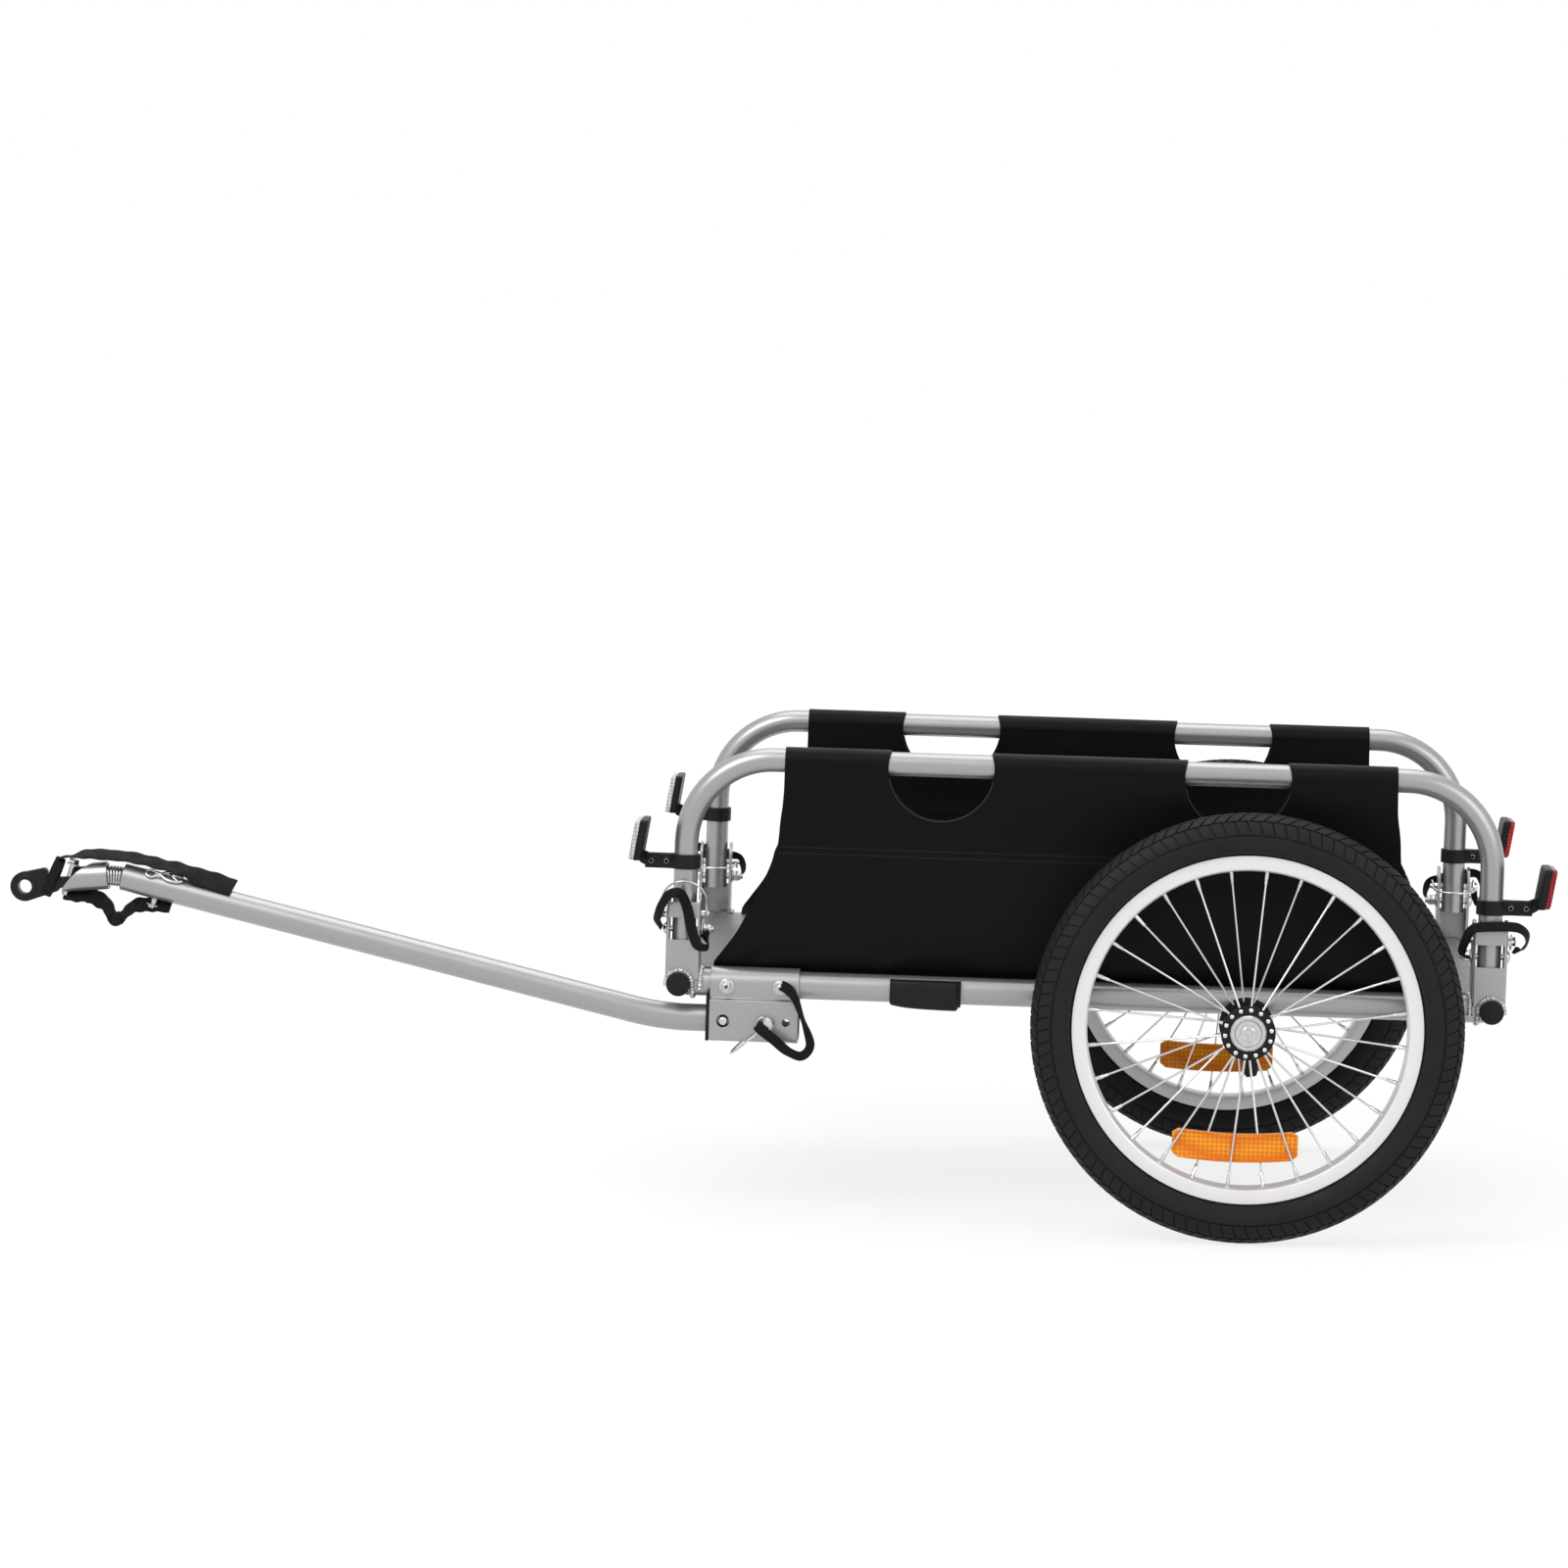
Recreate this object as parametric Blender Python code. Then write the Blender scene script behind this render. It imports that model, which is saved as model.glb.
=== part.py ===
# Bicycle cargo trailer: a welded tube bed frame on two 16 inch spoked wheels, two side hoops with
# cloth walls that fold inward, and a bent tow bar with a sprung axle hitch.
# Metres. +X points to the tail, +Y to the trailer's right, +Z up. The wheels stand on Z = 0.
import math

import bmesh
import bpy
from mathutils import Vector

# Driving dimensions: reach of the whole trailer from its wheel axle
EYE_REACH = 1.1425
EYE_RADIUS = 0.0139
TAIL_REACH = 0.2808
AXLE_X = (EYE_REACH + EYE_RADIUS - TAIL_REACH) / 2

# Wheels: a 47-305 tyre, 16 x 1.75 inch
TYRE_RADIUS = 0.199
TYRE_HALF_WIDTH = 0.022
RIM_RADIUS = 0.161
RIM_INNER_RADIUS = 0.1465
RIM_HALF_WIDTH = 0.0130
RIM_WALL = 0.0022
WHEEL_Y = 0.287
WHEEL_SEGMENTS = 32
FLANGE_RADIUS = 0.0250
FLANGE_OFFSET = 0.0300
FLANGE_THICKNESS = 0.0030
SPOKE_CIRCLE_RADIUS = 0.02125
SPOKES_PER_FLANGE = 14
SPOKE_RADIUS = 0.0010
SPOKE_PHASE = math.radians(5.1)
SPOKE_RIM_OFFSET = 0.0022
HUB_OUTER_END = 0.0338
HUB_INNER_END = 0.0355
AXLE_RADIUS = 0.0050
SLEEVE_RADIUS = 0.0096
SLEEVE_INBOARD = 0.0200
SLEEVE_OUTBOARD = 0.0210

# Bed frame
SIDE_Y = 0.230
FRONT_X = -0.5235
REAR_X = 0.2225
CROSS_TUBE_SET_OUT = 0.0028
RAIL_Z = TYRE_RADIUS + 0.0182
RAIL_RADIUS = 0.0127
CROSS_TUBE_RADIUS = 0.0111
CROSS_TUBE_OVERHANG = 0.0210
TUBE_WALL = 0.0015
BED_SHEET = 0.0015
BED_HALF_WIDTH = 0.2122
BED_LIP = 0.0150

# Side hoops
HOOP_RADIUS = 0.0111
HOOP_BEND = 0.080
HOOP_TOP_Z = TYRE_RADIUS + 0.228
HOOP_FOOT = 0.0385
PIVOT_RISE = 0.0495
LOCK_RISE = 0.0640

# Upright brackets
BRACKET_HALF_WIDTH = 0.0160
BRACKET_PLATE = 0.0025
BRACKET_WEB_Y = 0.0142
BRACKET_DEPTH = 0.0110
BRACKET_WEB_TOP = 0.0758
BRACKET_TOP = 0.0880
WINDOW_LOW = 0.0405
WINDOW_HIGH = 0.0613
PIN_RADIUS = 0.0030

# Cloth walls
BED_CENTRE_X = -0.1515
CLOTH = 0.0010
SEAM_DROP = 0.082
CLOTH_HALF_LENGTHS = ((0.230, 0.285), (0.148, 0.287), (0.094, 0.306), (0.076, 0.319),
                      (0.057, 0.332), (0.040, 0.3445), (0.010, 0.345))
HAND_HOLE_X = 0.137
HAND_HOLE_RADIUS = 0.049
HAND_HOLE_DROP = 0.003

# Tow bar and its receiver
TOW_DROP = 0.0335
TOW_RADIUS = 0.0127
TOW_WALL = 0.0013
TOW_RISE = math.radians(12.6)
TOW_BEND_X = -0.5426
TOW_BEND_RADIUS = 0.250
TOW_REAR_X = -0.4165
TOW_FRONT_X = -1.0505
RECEIVER_FRONT = -0.4970
RECEIVER_REAR = -0.4143
RECEIVER_PLATE = 0.0025
RECEIVER_HALF_WIDTH = 0.0188
RECEIVER_DROP = 0.0524
RECEIVER_JOGGLE = 0.0118
TOW_PIN_X = -0.4415
TOW_PIN_RADIUS = 0.0033
SNAP_X = -0.4841
SNAP_RADIUS = 0.0042
SNAP_HOLE_RADIUS = 0.0060
LINER_COLLAR = 0.0032
SPARE_HOLE_X = -0.4256

# Hitch
HITCH_DROOP = math.radians(5.5)
EYE_DROP = 0.0053
SPRING_RADIUS = 0.0090
SPRING_LENGTH = 0.0240
SPRING_WIRE = 0.0009
SPRING_TURNS = 9
SPRING_POINTS_PER_TURN = 8
JOINT_HALF_GAP = 0.0071

# Reflectors on the uprights
REFLECTOR_LOW = 0.0010
REFLECTOR_HIGH = 0.0390
REFLECTOR_HALF_WIDTH = 0.025
REFLECTOR_TILT = math.radians(9)
REFLECTOR_FACES = {"front": 0.0090, "rear": 0.0085}
REFLECTOR_DEPTHS = ((0.0, 0.0015), (0.0012, 0.0), (0.0100, 0.0), (0.0118, 0.0012))
REFLECTOR_CORNER = 0.005
REFLECTOR_ARM = ((0.0040, -0.0056), (0.0130, 0.0006), (0.0130, 0.0105))
CLAMP_HEIGHTS = {"front": TYRE_RADIUS + 0.1310, "rear": TYRE_RADIUS + 0.1135}
CLAMP_HALF_HEIGHT = 0.0068
CLAMP_PLATE = 0.0022
CLAMP_SLIT = 0.0026
CLAMP_SIDES = 11
ARM_PIVOT = 0.0320
ARM_SCREW = 0.0016

# Lock pins of the hoops
PIN_HEAD = 0.0198
PIN_TIP = 0.0220
BAIL_WIRE = 0.0010
BAIL_REACH = 0.0365
BAIL_START = 0.0100
BAIL_HALF_WIDTH = 0.0203

# The tow pin's wire bow
TOW_BAIL_LEAN = Vector((-0.74, 0, -0.67)).normalized()

# Coupler sleeve and hitch arm
SLEEVE_LONG = 0.0560
SLEEVE_NOSE = ((0.0100, 0.0160), (0.0190, 0.0134), (0.0268, 0.0105), (0.0326, 0.0073),
               (0.0384, 0.0033), (0.0430, -0.0010), (0.0500, -0.0090), (0.0530, -0.0160))
SLEEVE_OUTER = 0.0130
SEAT_DEPTH = 0.0060
SHANK_RADIUS = 0.0100
SHANK_START = 0.0200
ARM_UPPER = ((0.0670, 0.0110), (0.0640, 0.0085), (0.0615, 0.0020), (0.0340, 0.0015))
ARM_LOWER = ((0.0340, -0.0086), (0.0525, -0.0086), (0.0560, -0.0118))
EYE_BORE = 0.0065
EYE_HALF_THICKNESS = 0.0045
COLLAR_HALF_WIDTH = 0.0056
COLLAR_RADIUS = 0.0105

# Reflector bar in each wheel
REFLECTOR_BAR_RADIUS = 0.108
REFLECTOR_BAR_HALF = 0.0577
REFLECTOR_BAR_BOW = 0.0035
REFLECTOR_BAR_DEPTH = 0.0055
REFLECTOR_BAR_SHIFT = -0.0076

# Quick-release levers
LEVER_Y = SIDE_Y - 0.0345
LEVER_SWING = math.radians(9)
LEVER_STATIONS = ((0.000, 0.0045, 0.0000, 0.0035), (0.016, 0.0042, -0.0015, 0.0026),
                  (0.032, 0.0062, -0.0030, 0.0022), (0.046, 0.0072, -0.0020, 0.0020),
                  (0.054, 0.0066, 0.0000, 0.0018), (0.058, 0.0042, 0.0012, 0.0014))

# Fits between pieces that touch
GAP = 0.0003
SIDES = {"left": -1, "right": 1}
ENDS = {"front": (FRONT_X, -1), "rear": (REAR_X, 1)}


def clear_scene():
    for obj in list(bpy.data.objects):
        bpy.data.objects.remove(obj, do_unlink=True)


def material(name, color, roughness, metallic=0.0):
    made = bpy.data.materials.new(name)
    made.use_nodes = True
    shader = made.node_tree.nodes["Principled BSDF"]
    shader.inputs["Base Color"].default_value = (*color, 1.0)
    shader.inputs["Roughness"].default_value = roughness
    shader.inputs["Metallic"].default_value = metallic
    return made


def at(forward, y, z):
    """A point given by its distance behind the wheel axle, its side and its height."""
    return Vector((AXLE_X + forward, y, z))


# Mesh tools
def loft(bm, rings, closed=False, capped=True):
    """Skin a list of point rings. An open loft gets flat ends, a closed one joins end to start."""
    made = [[bm.verts.new(p) for p in ring] for ring in rings]
    count = len(made[0])
    pairs = list(zip(made, made[1:]))
    if closed:
        pairs.append((made[-1], made[0]))
    for a, b in pairs:
        for i in range(count):
            j = (i + 1) % count
            bm.faces.new((a[i], a[j], b[j], b[i]))
    if capped and not closed:
        bm.faces.new(list(reversed(made[0])))
        bm.faces.new(made[-1])
    return made


def frames(points, side):
    """Each point with two unit vectors square to the path, the first kept near the side vector."""
    found = []
    for i, point in enumerate(points):
        before = points[max(i - 1, 0)]
        after = points[min(i + 1, len(points) - 1)]
        along = (after - before).normalized()
        u = (side - along * side.dot(along)).normalized()
        found.append((point, u, along.cross(u)))
    return found


def circle(centre, u, v, radius, count):
    turns = [2 * math.pi * i / count for i in range(count)]
    return [centre + u * (radius * math.cos(t)) + v * (radius * math.sin(t)) for t in turns]


def add_rod(bm, points, radius, count, side=Vector((0, 1, 0))):
    loft(bm, [circle(p, u, v, radius, count) for p, u, v in frames(points, side)])


def add_pipe(bm, points, radius, wall, count, side=Vector((0, 1, 0))):
    steps = frames(points, side)
    outer = [circle(p, u, v, radius, count) for p, u, v in steps]
    inner = [circle(p, u, v, radius - wall, count) for p, u, v in reversed(steps)]
    loft(bm, outer + inner, closed=True)


def add_turned(bm, stations, centre, axis, count, closed=False):
    """Turn (distance along axis, radius) stations about an axis. Closed stations make a ring."""
    axis = axis.normalized()
    u = axis.orthogonal().normalized()
    v = axis.cross(u)
    loft(bm, [circle(centre + axis * a, u, v, r, count) for a, r in stations], closed)


def add_plate(bm, outline, place, low, high):
    """Extrude a flat outline. place(a, b, c) gives the point at a, b in the outline, c across."""
    loft(bm, [[place(a, b, c) for a, b in outline] for c in (low, high)])


def add_ribbon(bm, points, sides, width, thickness):
    """A flat strap along points. sides gives the direction of its width at each point."""
    rings = []
    for i, point in enumerate(points):
        before = points[max(i - 1, 0)]
        after = points[min(i + 1, len(points) - 1)]
        along = (after - before).normalized()
        w = (sides[i] - along * sides[i].dot(along)).normalized() * (width / 2)
        n = along.cross(w).normalized() * (thickness / 2)
        rings.append([point - w - n, point + w - n, point + w + n, point - w + n])
    loft(bm, rings)


def arc(cx, cy, radius, start, end, count):
    """Points on an arc, angles in degrees."""
    turns = [math.radians(start + (end - start) * i / count) for i in range(count + 1)]
    return [(cx + radius * math.cos(t), cy + radius * math.sin(t)) for t in turns]


def smooth_path(points, steps):
    """A Catmull-Rom curve through the points."""
    padded = [points[0] * 2 - points[1]] + points + [points[-1] * 2 - points[-2]]
    path = []
    for a, b, c, d in zip(padded, padded[1:], padded[2:], padded[3:]):
        for i in range(steps):
            t = i / steps
            path.append(0.5 * (2 * b + (c - a) * t + (2 * a - 5 * b + 4 * c - d) * t * t
                               + (3 * b - a - 3 * c + d) * t ** 3))
    return path + [points[-1]]


def finish(name, bm, surface, origin=None):
    """Turn a bmesh into a named object whose origin is on its joint axis."""
    origin = Vector(origin) if origin is not None else Vector((0, 0, 0))
    bmesh.ops.recalc_face_normals(bm, faces=bm.faces)
    bmesh.ops.translate(bm, verts=bm.verts, vec=-origin)
    mesh = bpy.data.meshes.new(name)
    bm.to_mesh(mesh)
    bm.free()
    obj = bpy.data.objects.new(name, mesh)
    obj.location = origin
    bpy.context.scene.collection.objects.link(obj)
    mesh.materials.append(surface)
    mesh.shade_smooth()
    mesh.set_sharp_from_angle(angle=math.radians(35))
    return obj


def cut(target, bm, operation="DIFFERENCE"):
    """Apply the shape in bm to the target with a Boolean modifier, and keep it as a hidden guide."""
    cutter = finish(f"{target.name}_cut_{len(target.modifiers)}", bm, target.data.materials[0])
    cutter.hide_render = True
    cutter.display_type = "WIRE"
    modifier = target.modifiers.new("cut", "BOOLEAN")
    modifier.operation = operation
    modifier.solver = "EXACT"
    modifier.object = cutter


def drill(target, points, radius, direction, reach, count=12):
    """Drill holes through the target at the points, their flats no nearer than the radius."""
    corner = radius / math.cos(math.pi / count)
    bm = bmesh.new()
    for point in points:
        add_turned(bm, [(-reach, corner), (reach, corner)], point, direction, count)
    cut(target, bm)


def box_cut(target, low, high):
    bm = bmesh.new()
    bmesh.ops.create_cube(bm, size=1.0)
    low, high = Vector(low), Vector(high)
    span = high - low
    bmesh.ops.scale(bm, vec=span, verts=bm.verts)
    bmesh.ops.translate(bm, vec=(low + high) / 2, verts=bm.verts)
    cut(target, bm)


# Bed frame
def build_side_rail(side, sign, paint):
    """A rail whose ends are coped to the cross tubes, with the wheel's axle sleeve welded below."""
    front = at(FRONT_X - CROSS_TUBE_SET_OUT + 0.004, sign * SIDE_Y, RAIL_Z)
    rear = at(REAR_X + CROSS_TUBE_SET_OUT - 0.004, sign * SIDE_Y, RAIL_Z)
    bm = bmesh.new()
    add_pipe(bm, [front, rear], RAIL_RADIUS, TUBE_WALL, 14)
    rail = finish(f"side_rail_{side}", bm, paint)
    sleeve = bmesh.new()
    ends = [at(0, sign * (SIDE_Y + a), TYRE_RADIUS) for a in (-SLEEVE_INBOARD, SLEEVE_OUTBOARD)]
    add_pipe(sleeve, ends, SLEEVE_RADIUS, SLEEVE_RADIUS - AXLE_RADIUS - GAP, 12, Vector((1, 0, 0)))
    cut(rail, sleeve, "UNION")
    for end in (FRONT_X - CROSS_TUBE_SET_OUT, REAR_X + CROSS_TUBE_SET_OUT):
        drill(rail, [at(end, sign * SIDE_Y, RAIL_Z)], CROSS_TUBE_RADIUS + GAP, Vector((0, 1, 0)),
              0.03, 12)


def build_cross_tube(end, paint):
    x, outward = ENDS[end]
    middle = x + outward * CROSS_TUBE_SET_OUT
    half = SIDE_Y + CROSS_TUBE_OVERHANG
    bm = bmesh.new()
    add_pipe(bm, [at(middle, -half, RAIL_Z), at(middle, half, RAIL_Z)], CROSS_TUBE_RADIUS,
             TUBE_WALL, 16, Vector((1, 0, 0)))
    finish(f"cross_tube_{end}", bm, paint)


def build_bed_panel(paint):
    """A sheet that lies on the cross tubes, its long edges folded down as lips."""
    low = RAIL_Z + CROSS_TUBE_RADIUS + GAP
    top = low + BED_SHEET
    inner = BED_HALF_WIDTH - BED_SHEET
    bend = 0.003
    outer_arc = arc(BED_HALF_WIDTH - bend, top - bend, bend, 0, 90, 3)
    inner_arc = arc(BED_HALF_WIDTH - bend, top - bend, bend - BED_SHEET, 90, 0, 3)
    half = [(BED_HALF_WIDTH, top - BED_LIP)] + outer_arc
    under = inner_arc + [(inner, top - BED_LIP)]
    outline = half + [(-y, z) for y, z in reversed(half)] + [(-y, z) for y, z in reversed(under)]
    outline += under
    bm = bmesh.new()
    add_plate(bm, outline, lambda y, z, x: at(x, y, z), FRONT_X, REAR_X)
    panel = finish("bed_panel", bm, paint)
    for middle in (FRONT_X - CROSS_TUBE_SET_OUT, REAR_X + CROSS_TUBE_SET_OUT):
        drill(panel, [at(middle, 0, RAIL_Z)], CROSS_TUBE_RADIUS + GAP, Vector((0, 1, 0)), 0.3, 16)


def build_bracket(end, side, paint):
    """A U channel, open inboard, coped and welded on the cross tube, with a window in its web."""
    x, outward = ENDS[end]
    sign = SIDES[side]
    outer = sign * (SIDE_Y + BRACKET_WEB_Y)
    inner = sign * (SIDE_Y + BRACKET_WEB_Y - BRACKET_PLATE)
    open_edge = sign * (SIDE_Y - BRACKET_DEPTH)
    w, t = BRACKET_HALF_WIDTH, BRACKET_PLATE
    corner = 0.0025
    nose = [(sign * (SIDE_Y + BRACKET_WEB_Y) - sign * corner * (1 - math.sin(math.radians(a))),
             w - corner * (1 - math.cos(math.radians(a)))) for a in (0, 45, 90)]
    outline = [(x + b, a) for a, b in nose]
    outline += [(x - b, a) for a, b in reversed(nose)]
    outline += [(x - w, open_edge), (x - w + t, open_edge), (x - w + t, inner)]
    outline += [(x + w - t, inner), (x + w - t, open_edge), (x + w, open_edge)]
    bm = bmesh.new()
    low, high = RAIL_Z + 0.004, RAIL_Z + BRACKET_TOP
    add_plate(bm, outline, lambda a, b, c: at(a, b, c), low, high)
    bracket = finish(f"upright_bracket_{end}_{side}", bm, paint)
    ear = bmesh.new()
    crown = (BRACKET_WEB_Y + BRACKET_DEPTH) / 2
    middle = SIDE_Y + BRACKET_WEB_Y - crown
    rounded = arc(middle, high - crown, crown, 0, 180, 6)
    profile = rounded + [(middle - crown, low - 0.01), (middle + crown, low - 0.01)]
    add_plate(ear, profile, lambda a, b, c: at(c, sign * a, b), x - 0.03, x + 0.03)
    cut(bracket, ear, "INTERSECT")
    clear = w - t
    beyond = outer + sign * 0.01
    y_low, y_high = min(beyond, inner - sign * 0.001), max(beyond, inner - sign * 0.001)
    box_cut(bracket, at(x - clear, y_low, RAIL_Z + BRACKET_WEB_TOP), at(x + clear, y_high, high + 0.01))
    box_cut(bracket, at(x - clear + 0.0002, y_low, RAIL_Z + WINDOW_LOW),
            at(x + clear - 0.0002, y_high, RAIL_Z + WINDOW_HIGH))
    drill(bracket, [at(x + outward * CROSS_TUBE_SET_OUT, sign * SIDE_Y, RAIL_Z)],
          CROSS_TUBE_RADIUS + GAP, Vector((0, 1, 0)), 0.04, 12)
    drill(bracket, [at(x - outward * 0.03, sign * SIDE_Y, RAIL_Z)], RAIL_RADIUS + GAP, Vector((1, 0, 0)),
          0.03, 14)
    drill(bracket, [at(x, sign * SIDE_Y, RAIL_Z + PIVOT_RISE), at(x, sign * SIDE_Y, RAIL_Z + LOCK_RISE)],
          PIN_RADIUS + GAP, Vector((1, 0, 0)), 0.04, 8)


def build_pivot_bolt(end, side, zinc):
    """A bolt that the hoop turns on: round head on the outer end, washer and lock nut on the other."""
    x, outward = ENDS[end]
    centre = at(x, SIDES[side] * SIDE_Y, RAIL_Z + PIVOT_RISE)
    outer = Vector((outward, 0, 0))
    face = BRACKET_HALF_WIDTH + GAP
    stations = [(-face - 0.0110, 0.0030), (-face - 0.0088, 0.0030), (-face - 0.0088, 0.0043),
                (-face - 0.0012, 0.0046), (-face - 0.0012, 0.0062), (-face, 0.0062), (-face, 0.0030),
                (face, 0.0030), (face, 0.0060), (face + 0.0012, 0.0058), (face + 0.0034, 0.0036)]
    bm = bmesh.new()
    add_turned(bm, stations, centre, outer, 8)
    bolt = finish(f"pivot_bolt_{end}_{side}", bm, zinc, centre)
    nut = bmesh.new()
    add_turned(nut, [(-face - 0.0065, 0.0056), (-face - 0.0010, 0.0056)], centre, outer, 6)
    cut(bolt, nut, "UNION")


# Side hoops
def hoop_path(sign):
    y = sign * SIDE_Y
    foot = RAIL_Z + HOOP_FOOT
    bend_z = HOOP_TOP_Z - HOOP_BEND
    front = arc(FRONT_X + HOOP_BEND, bend_z, HOOP_BEND, 180, 90, 5)
    rear = arc(REAR_X - HOOP_BEND, bend_z, HOOP_BEND, 90, 0, 5)
    points = [(FRONT_X, foot)] + front + rear + [(REAR_X, foot)]
    return [at(x, y, z) for x, z in points]


def build_hoop(side, paint):
    sign = SIDES[side]
    pivot = at(FRONT_X, sign * SIDE_Y, RAIL_Z + PIVOT_RISE)
    bm = bmesh.new()
    add_pipe(bm, hoop_path(sign), HOOP_RADIUS, TUBE_WALL, 12)
    hoop = finish(f"hoop_{side}", bm, paint, pivot)
    for x, _ in ENDS.values():
        holes = [at(x, sign * SIDE_Y, RAIL_Z + PIVOT_RISE), at(x, sign * SIDE_Y, RAIL_Z + LOCK_RISE)]
        drill(hoop, holes, PIN_RADIUS + GAP, Vector((1, 0, 0)), 0.02, 6)


def cloth_half_length(z):
    """Half the cloth's length at height z above the axle, from its cut outline."""
    rows = CLOTH_HALF_LENGTHS
    if z >= rows[0][0]:
        return rows[0][1]
    for (z1, l1), (z2, l2) in zip(rows, rows[1:]):
        if z >= z2:
            return l2 + (l1 - l2) * (z - z2) / (z1 - z2)
    return rows[-1][1]


def cloth_sheet(bm, line, sign, columns):
    """A thin sheet over (outboard offset, height) points, as wide as the cloth's outline."""
    offsets = []
    for i, (y, z) in enumerate(line):
        a, b = line[max(i - 1, 0)], line[min(i + 1, len(line) - 1)]
        length = math.hypot(b[0] - a[0], b[1] - a[1])
        offsets.append(((b[1] - a[1]) / length * CLOTH / 2, -(b[0] - a[0]) / length * CLOTH / 2))
    rings = []
    for c in range(columns + 1):
        u = -1 + 2 * c / columns
        ring = []
        for way in (1, -1):
            pairs = list(zip(line, offsets))
            for (y, z), (dy, dz) in (pairs if way == 1 else reversed(pairs)):
                x = BED_CENTRE_X + u * cloth_half_length(z - TYRE_RADIUS)
                ring.append(at(x, sign * (SIDE_Y + y + way * dy), z + way * dz))
        rings.append(ring)
    made = loft(bm, rings, capped=False)
    last = 2 * len(line) - 1
    for ring in (made[0], made[-1]):
        for i in range(len(line) - 1):
            bm.faces.new((ring[i], ring[i + 1], ring[last - i - 1], ring[last - i]))


def build_side_cloth(side, cloth):
    """The upper wall: up from the fold, round the top rail as a sleeve and sewn down to itself."""
    sign = SIDES[side]
    wrap = HOOP_RADIUS + GAP + CLOTH / 2 + 0.0004
    seam = HOOP_TOP_Z - SEAM_DROP
    fold = RAIL_Z + PIVOT_RISE + 0.001
    around = [(y, z) for y, z in arc(0, HOOP_TOP_Z, wrap, -8, 188, 8)]
    line = [(0.0, fold), (0.0, fold + 0.025), (0.0, fold + 0.050), (0.0, seam - 0.008), (0.0008, seam)]
    line += [(0.0035, seam + 0.020), (0.0080, seam + 0.045)]
    line += around
    line += [(-0.0080, seam + 0.045), (-0.0035, seam + 0.020), (-0.0016, seam), (-0.0016, seam - 0.008)]
    bm = bmesh.new()
    cloth_sheet(bm, line, sign, 1)
    wall = finish(f"side_cloth_{side}", bm, cloth, at(FRONT_X, sign * SIDE_Y, RAIL_Z + PIVOT_RISE))
    centres = [at(BED_CENTRE_X + way * HAND_HOLE_X, sign * SIDE_Y, HOOP_TOP_Z - HAND_HOLE_DROP)
               for way in (-1, 1)]
    drill(wall, centres, HAND_HOLE_RADIUS, Vector((0, 1, 0)), 0.03, 20)


def build_skirt(side, cloth):
    """The lower wall, which stays on the bed frame: from the fold down behind the side rail."""
    sign = SIDES[side]
    fold = RAIL_Z + PIVOT_RISE - 0.0005
    behind = -(RAIL_RADIUS + RECEIVER_PLATE + 3 * GAP + CLOTH / 2)
    line = [(0.0, fold), (-0.001, fold - 0.010), (-0.0045, fold - 0.022), (-0.0095, RAIL_Z + 0.0145),
            (behind, RAIL_Z + 0.006), (behind, RAIL_Z - 0.008)]
    bm = bmesh.new()
    cloth_sheet(bm, line, sign, 1)
    finish(f"cloth_skirt_{side}", bm, cloth)


# Reflectors on the uprights
def arm_pivot(end, side):
    x, outward = ENDS[end]
    return at(x + outward * ARM_PIVOT, SIDES[side] * SIDE_Y, CLAMP_HEIGHTS[end])


def build_reflector_clamp(end, side, plastic):
    """A plastic band round the upright, whose two ends run out as ears on either side of the arm."""
    x, outward = ENDS[end]
    sign = SIDES[side]
    inner = (HOOP_RADIUS + GAP) / math.cos(math.pi / CLAMP_SIDES)
    outer = inner + CLAMP_PLATE
    ear = CLAMP_SLIT + CLAMP_PLATE
    tip = ARM_PIVOT + 0.006
    start = math.degrees(math.asin(CLAMP_SLIT / inner))
    stop = math.degrees(math.asin(ear / outer))
    outline = [(tip, ear)] + arc(0, 0, outer, stop, 360 - stop, CLAMP_SIDES)
    outline += [(tip, -ear), (tip, -CLAMP_SLIT)]
    outline += arc(0, 0, inner, 360 - start, start, CLAMP_SIDES) + [(tip, CLAMP_SLIT)]
    z = CLAMP_HEIGHTS[end]
    bm = bmesh.new()
    add_plate(bm, outline, lambda a, b, c: at(x + outward * a, sign * (SIDE_Y + b), z + c),
              -CLAMP_HALF_HEIGHT, CLAMP_HALF_HEIGHT)
    clamp = finish(f"reflector_clamp_{end}_{side}", bm, plastic, at(x, sign * SIDE_Y, z))
    drill(clamp, [arm_pivot(end, side)], ARM_SCREW + GAP, Vector((0, 1, 0)), 0.01, 8)


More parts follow.
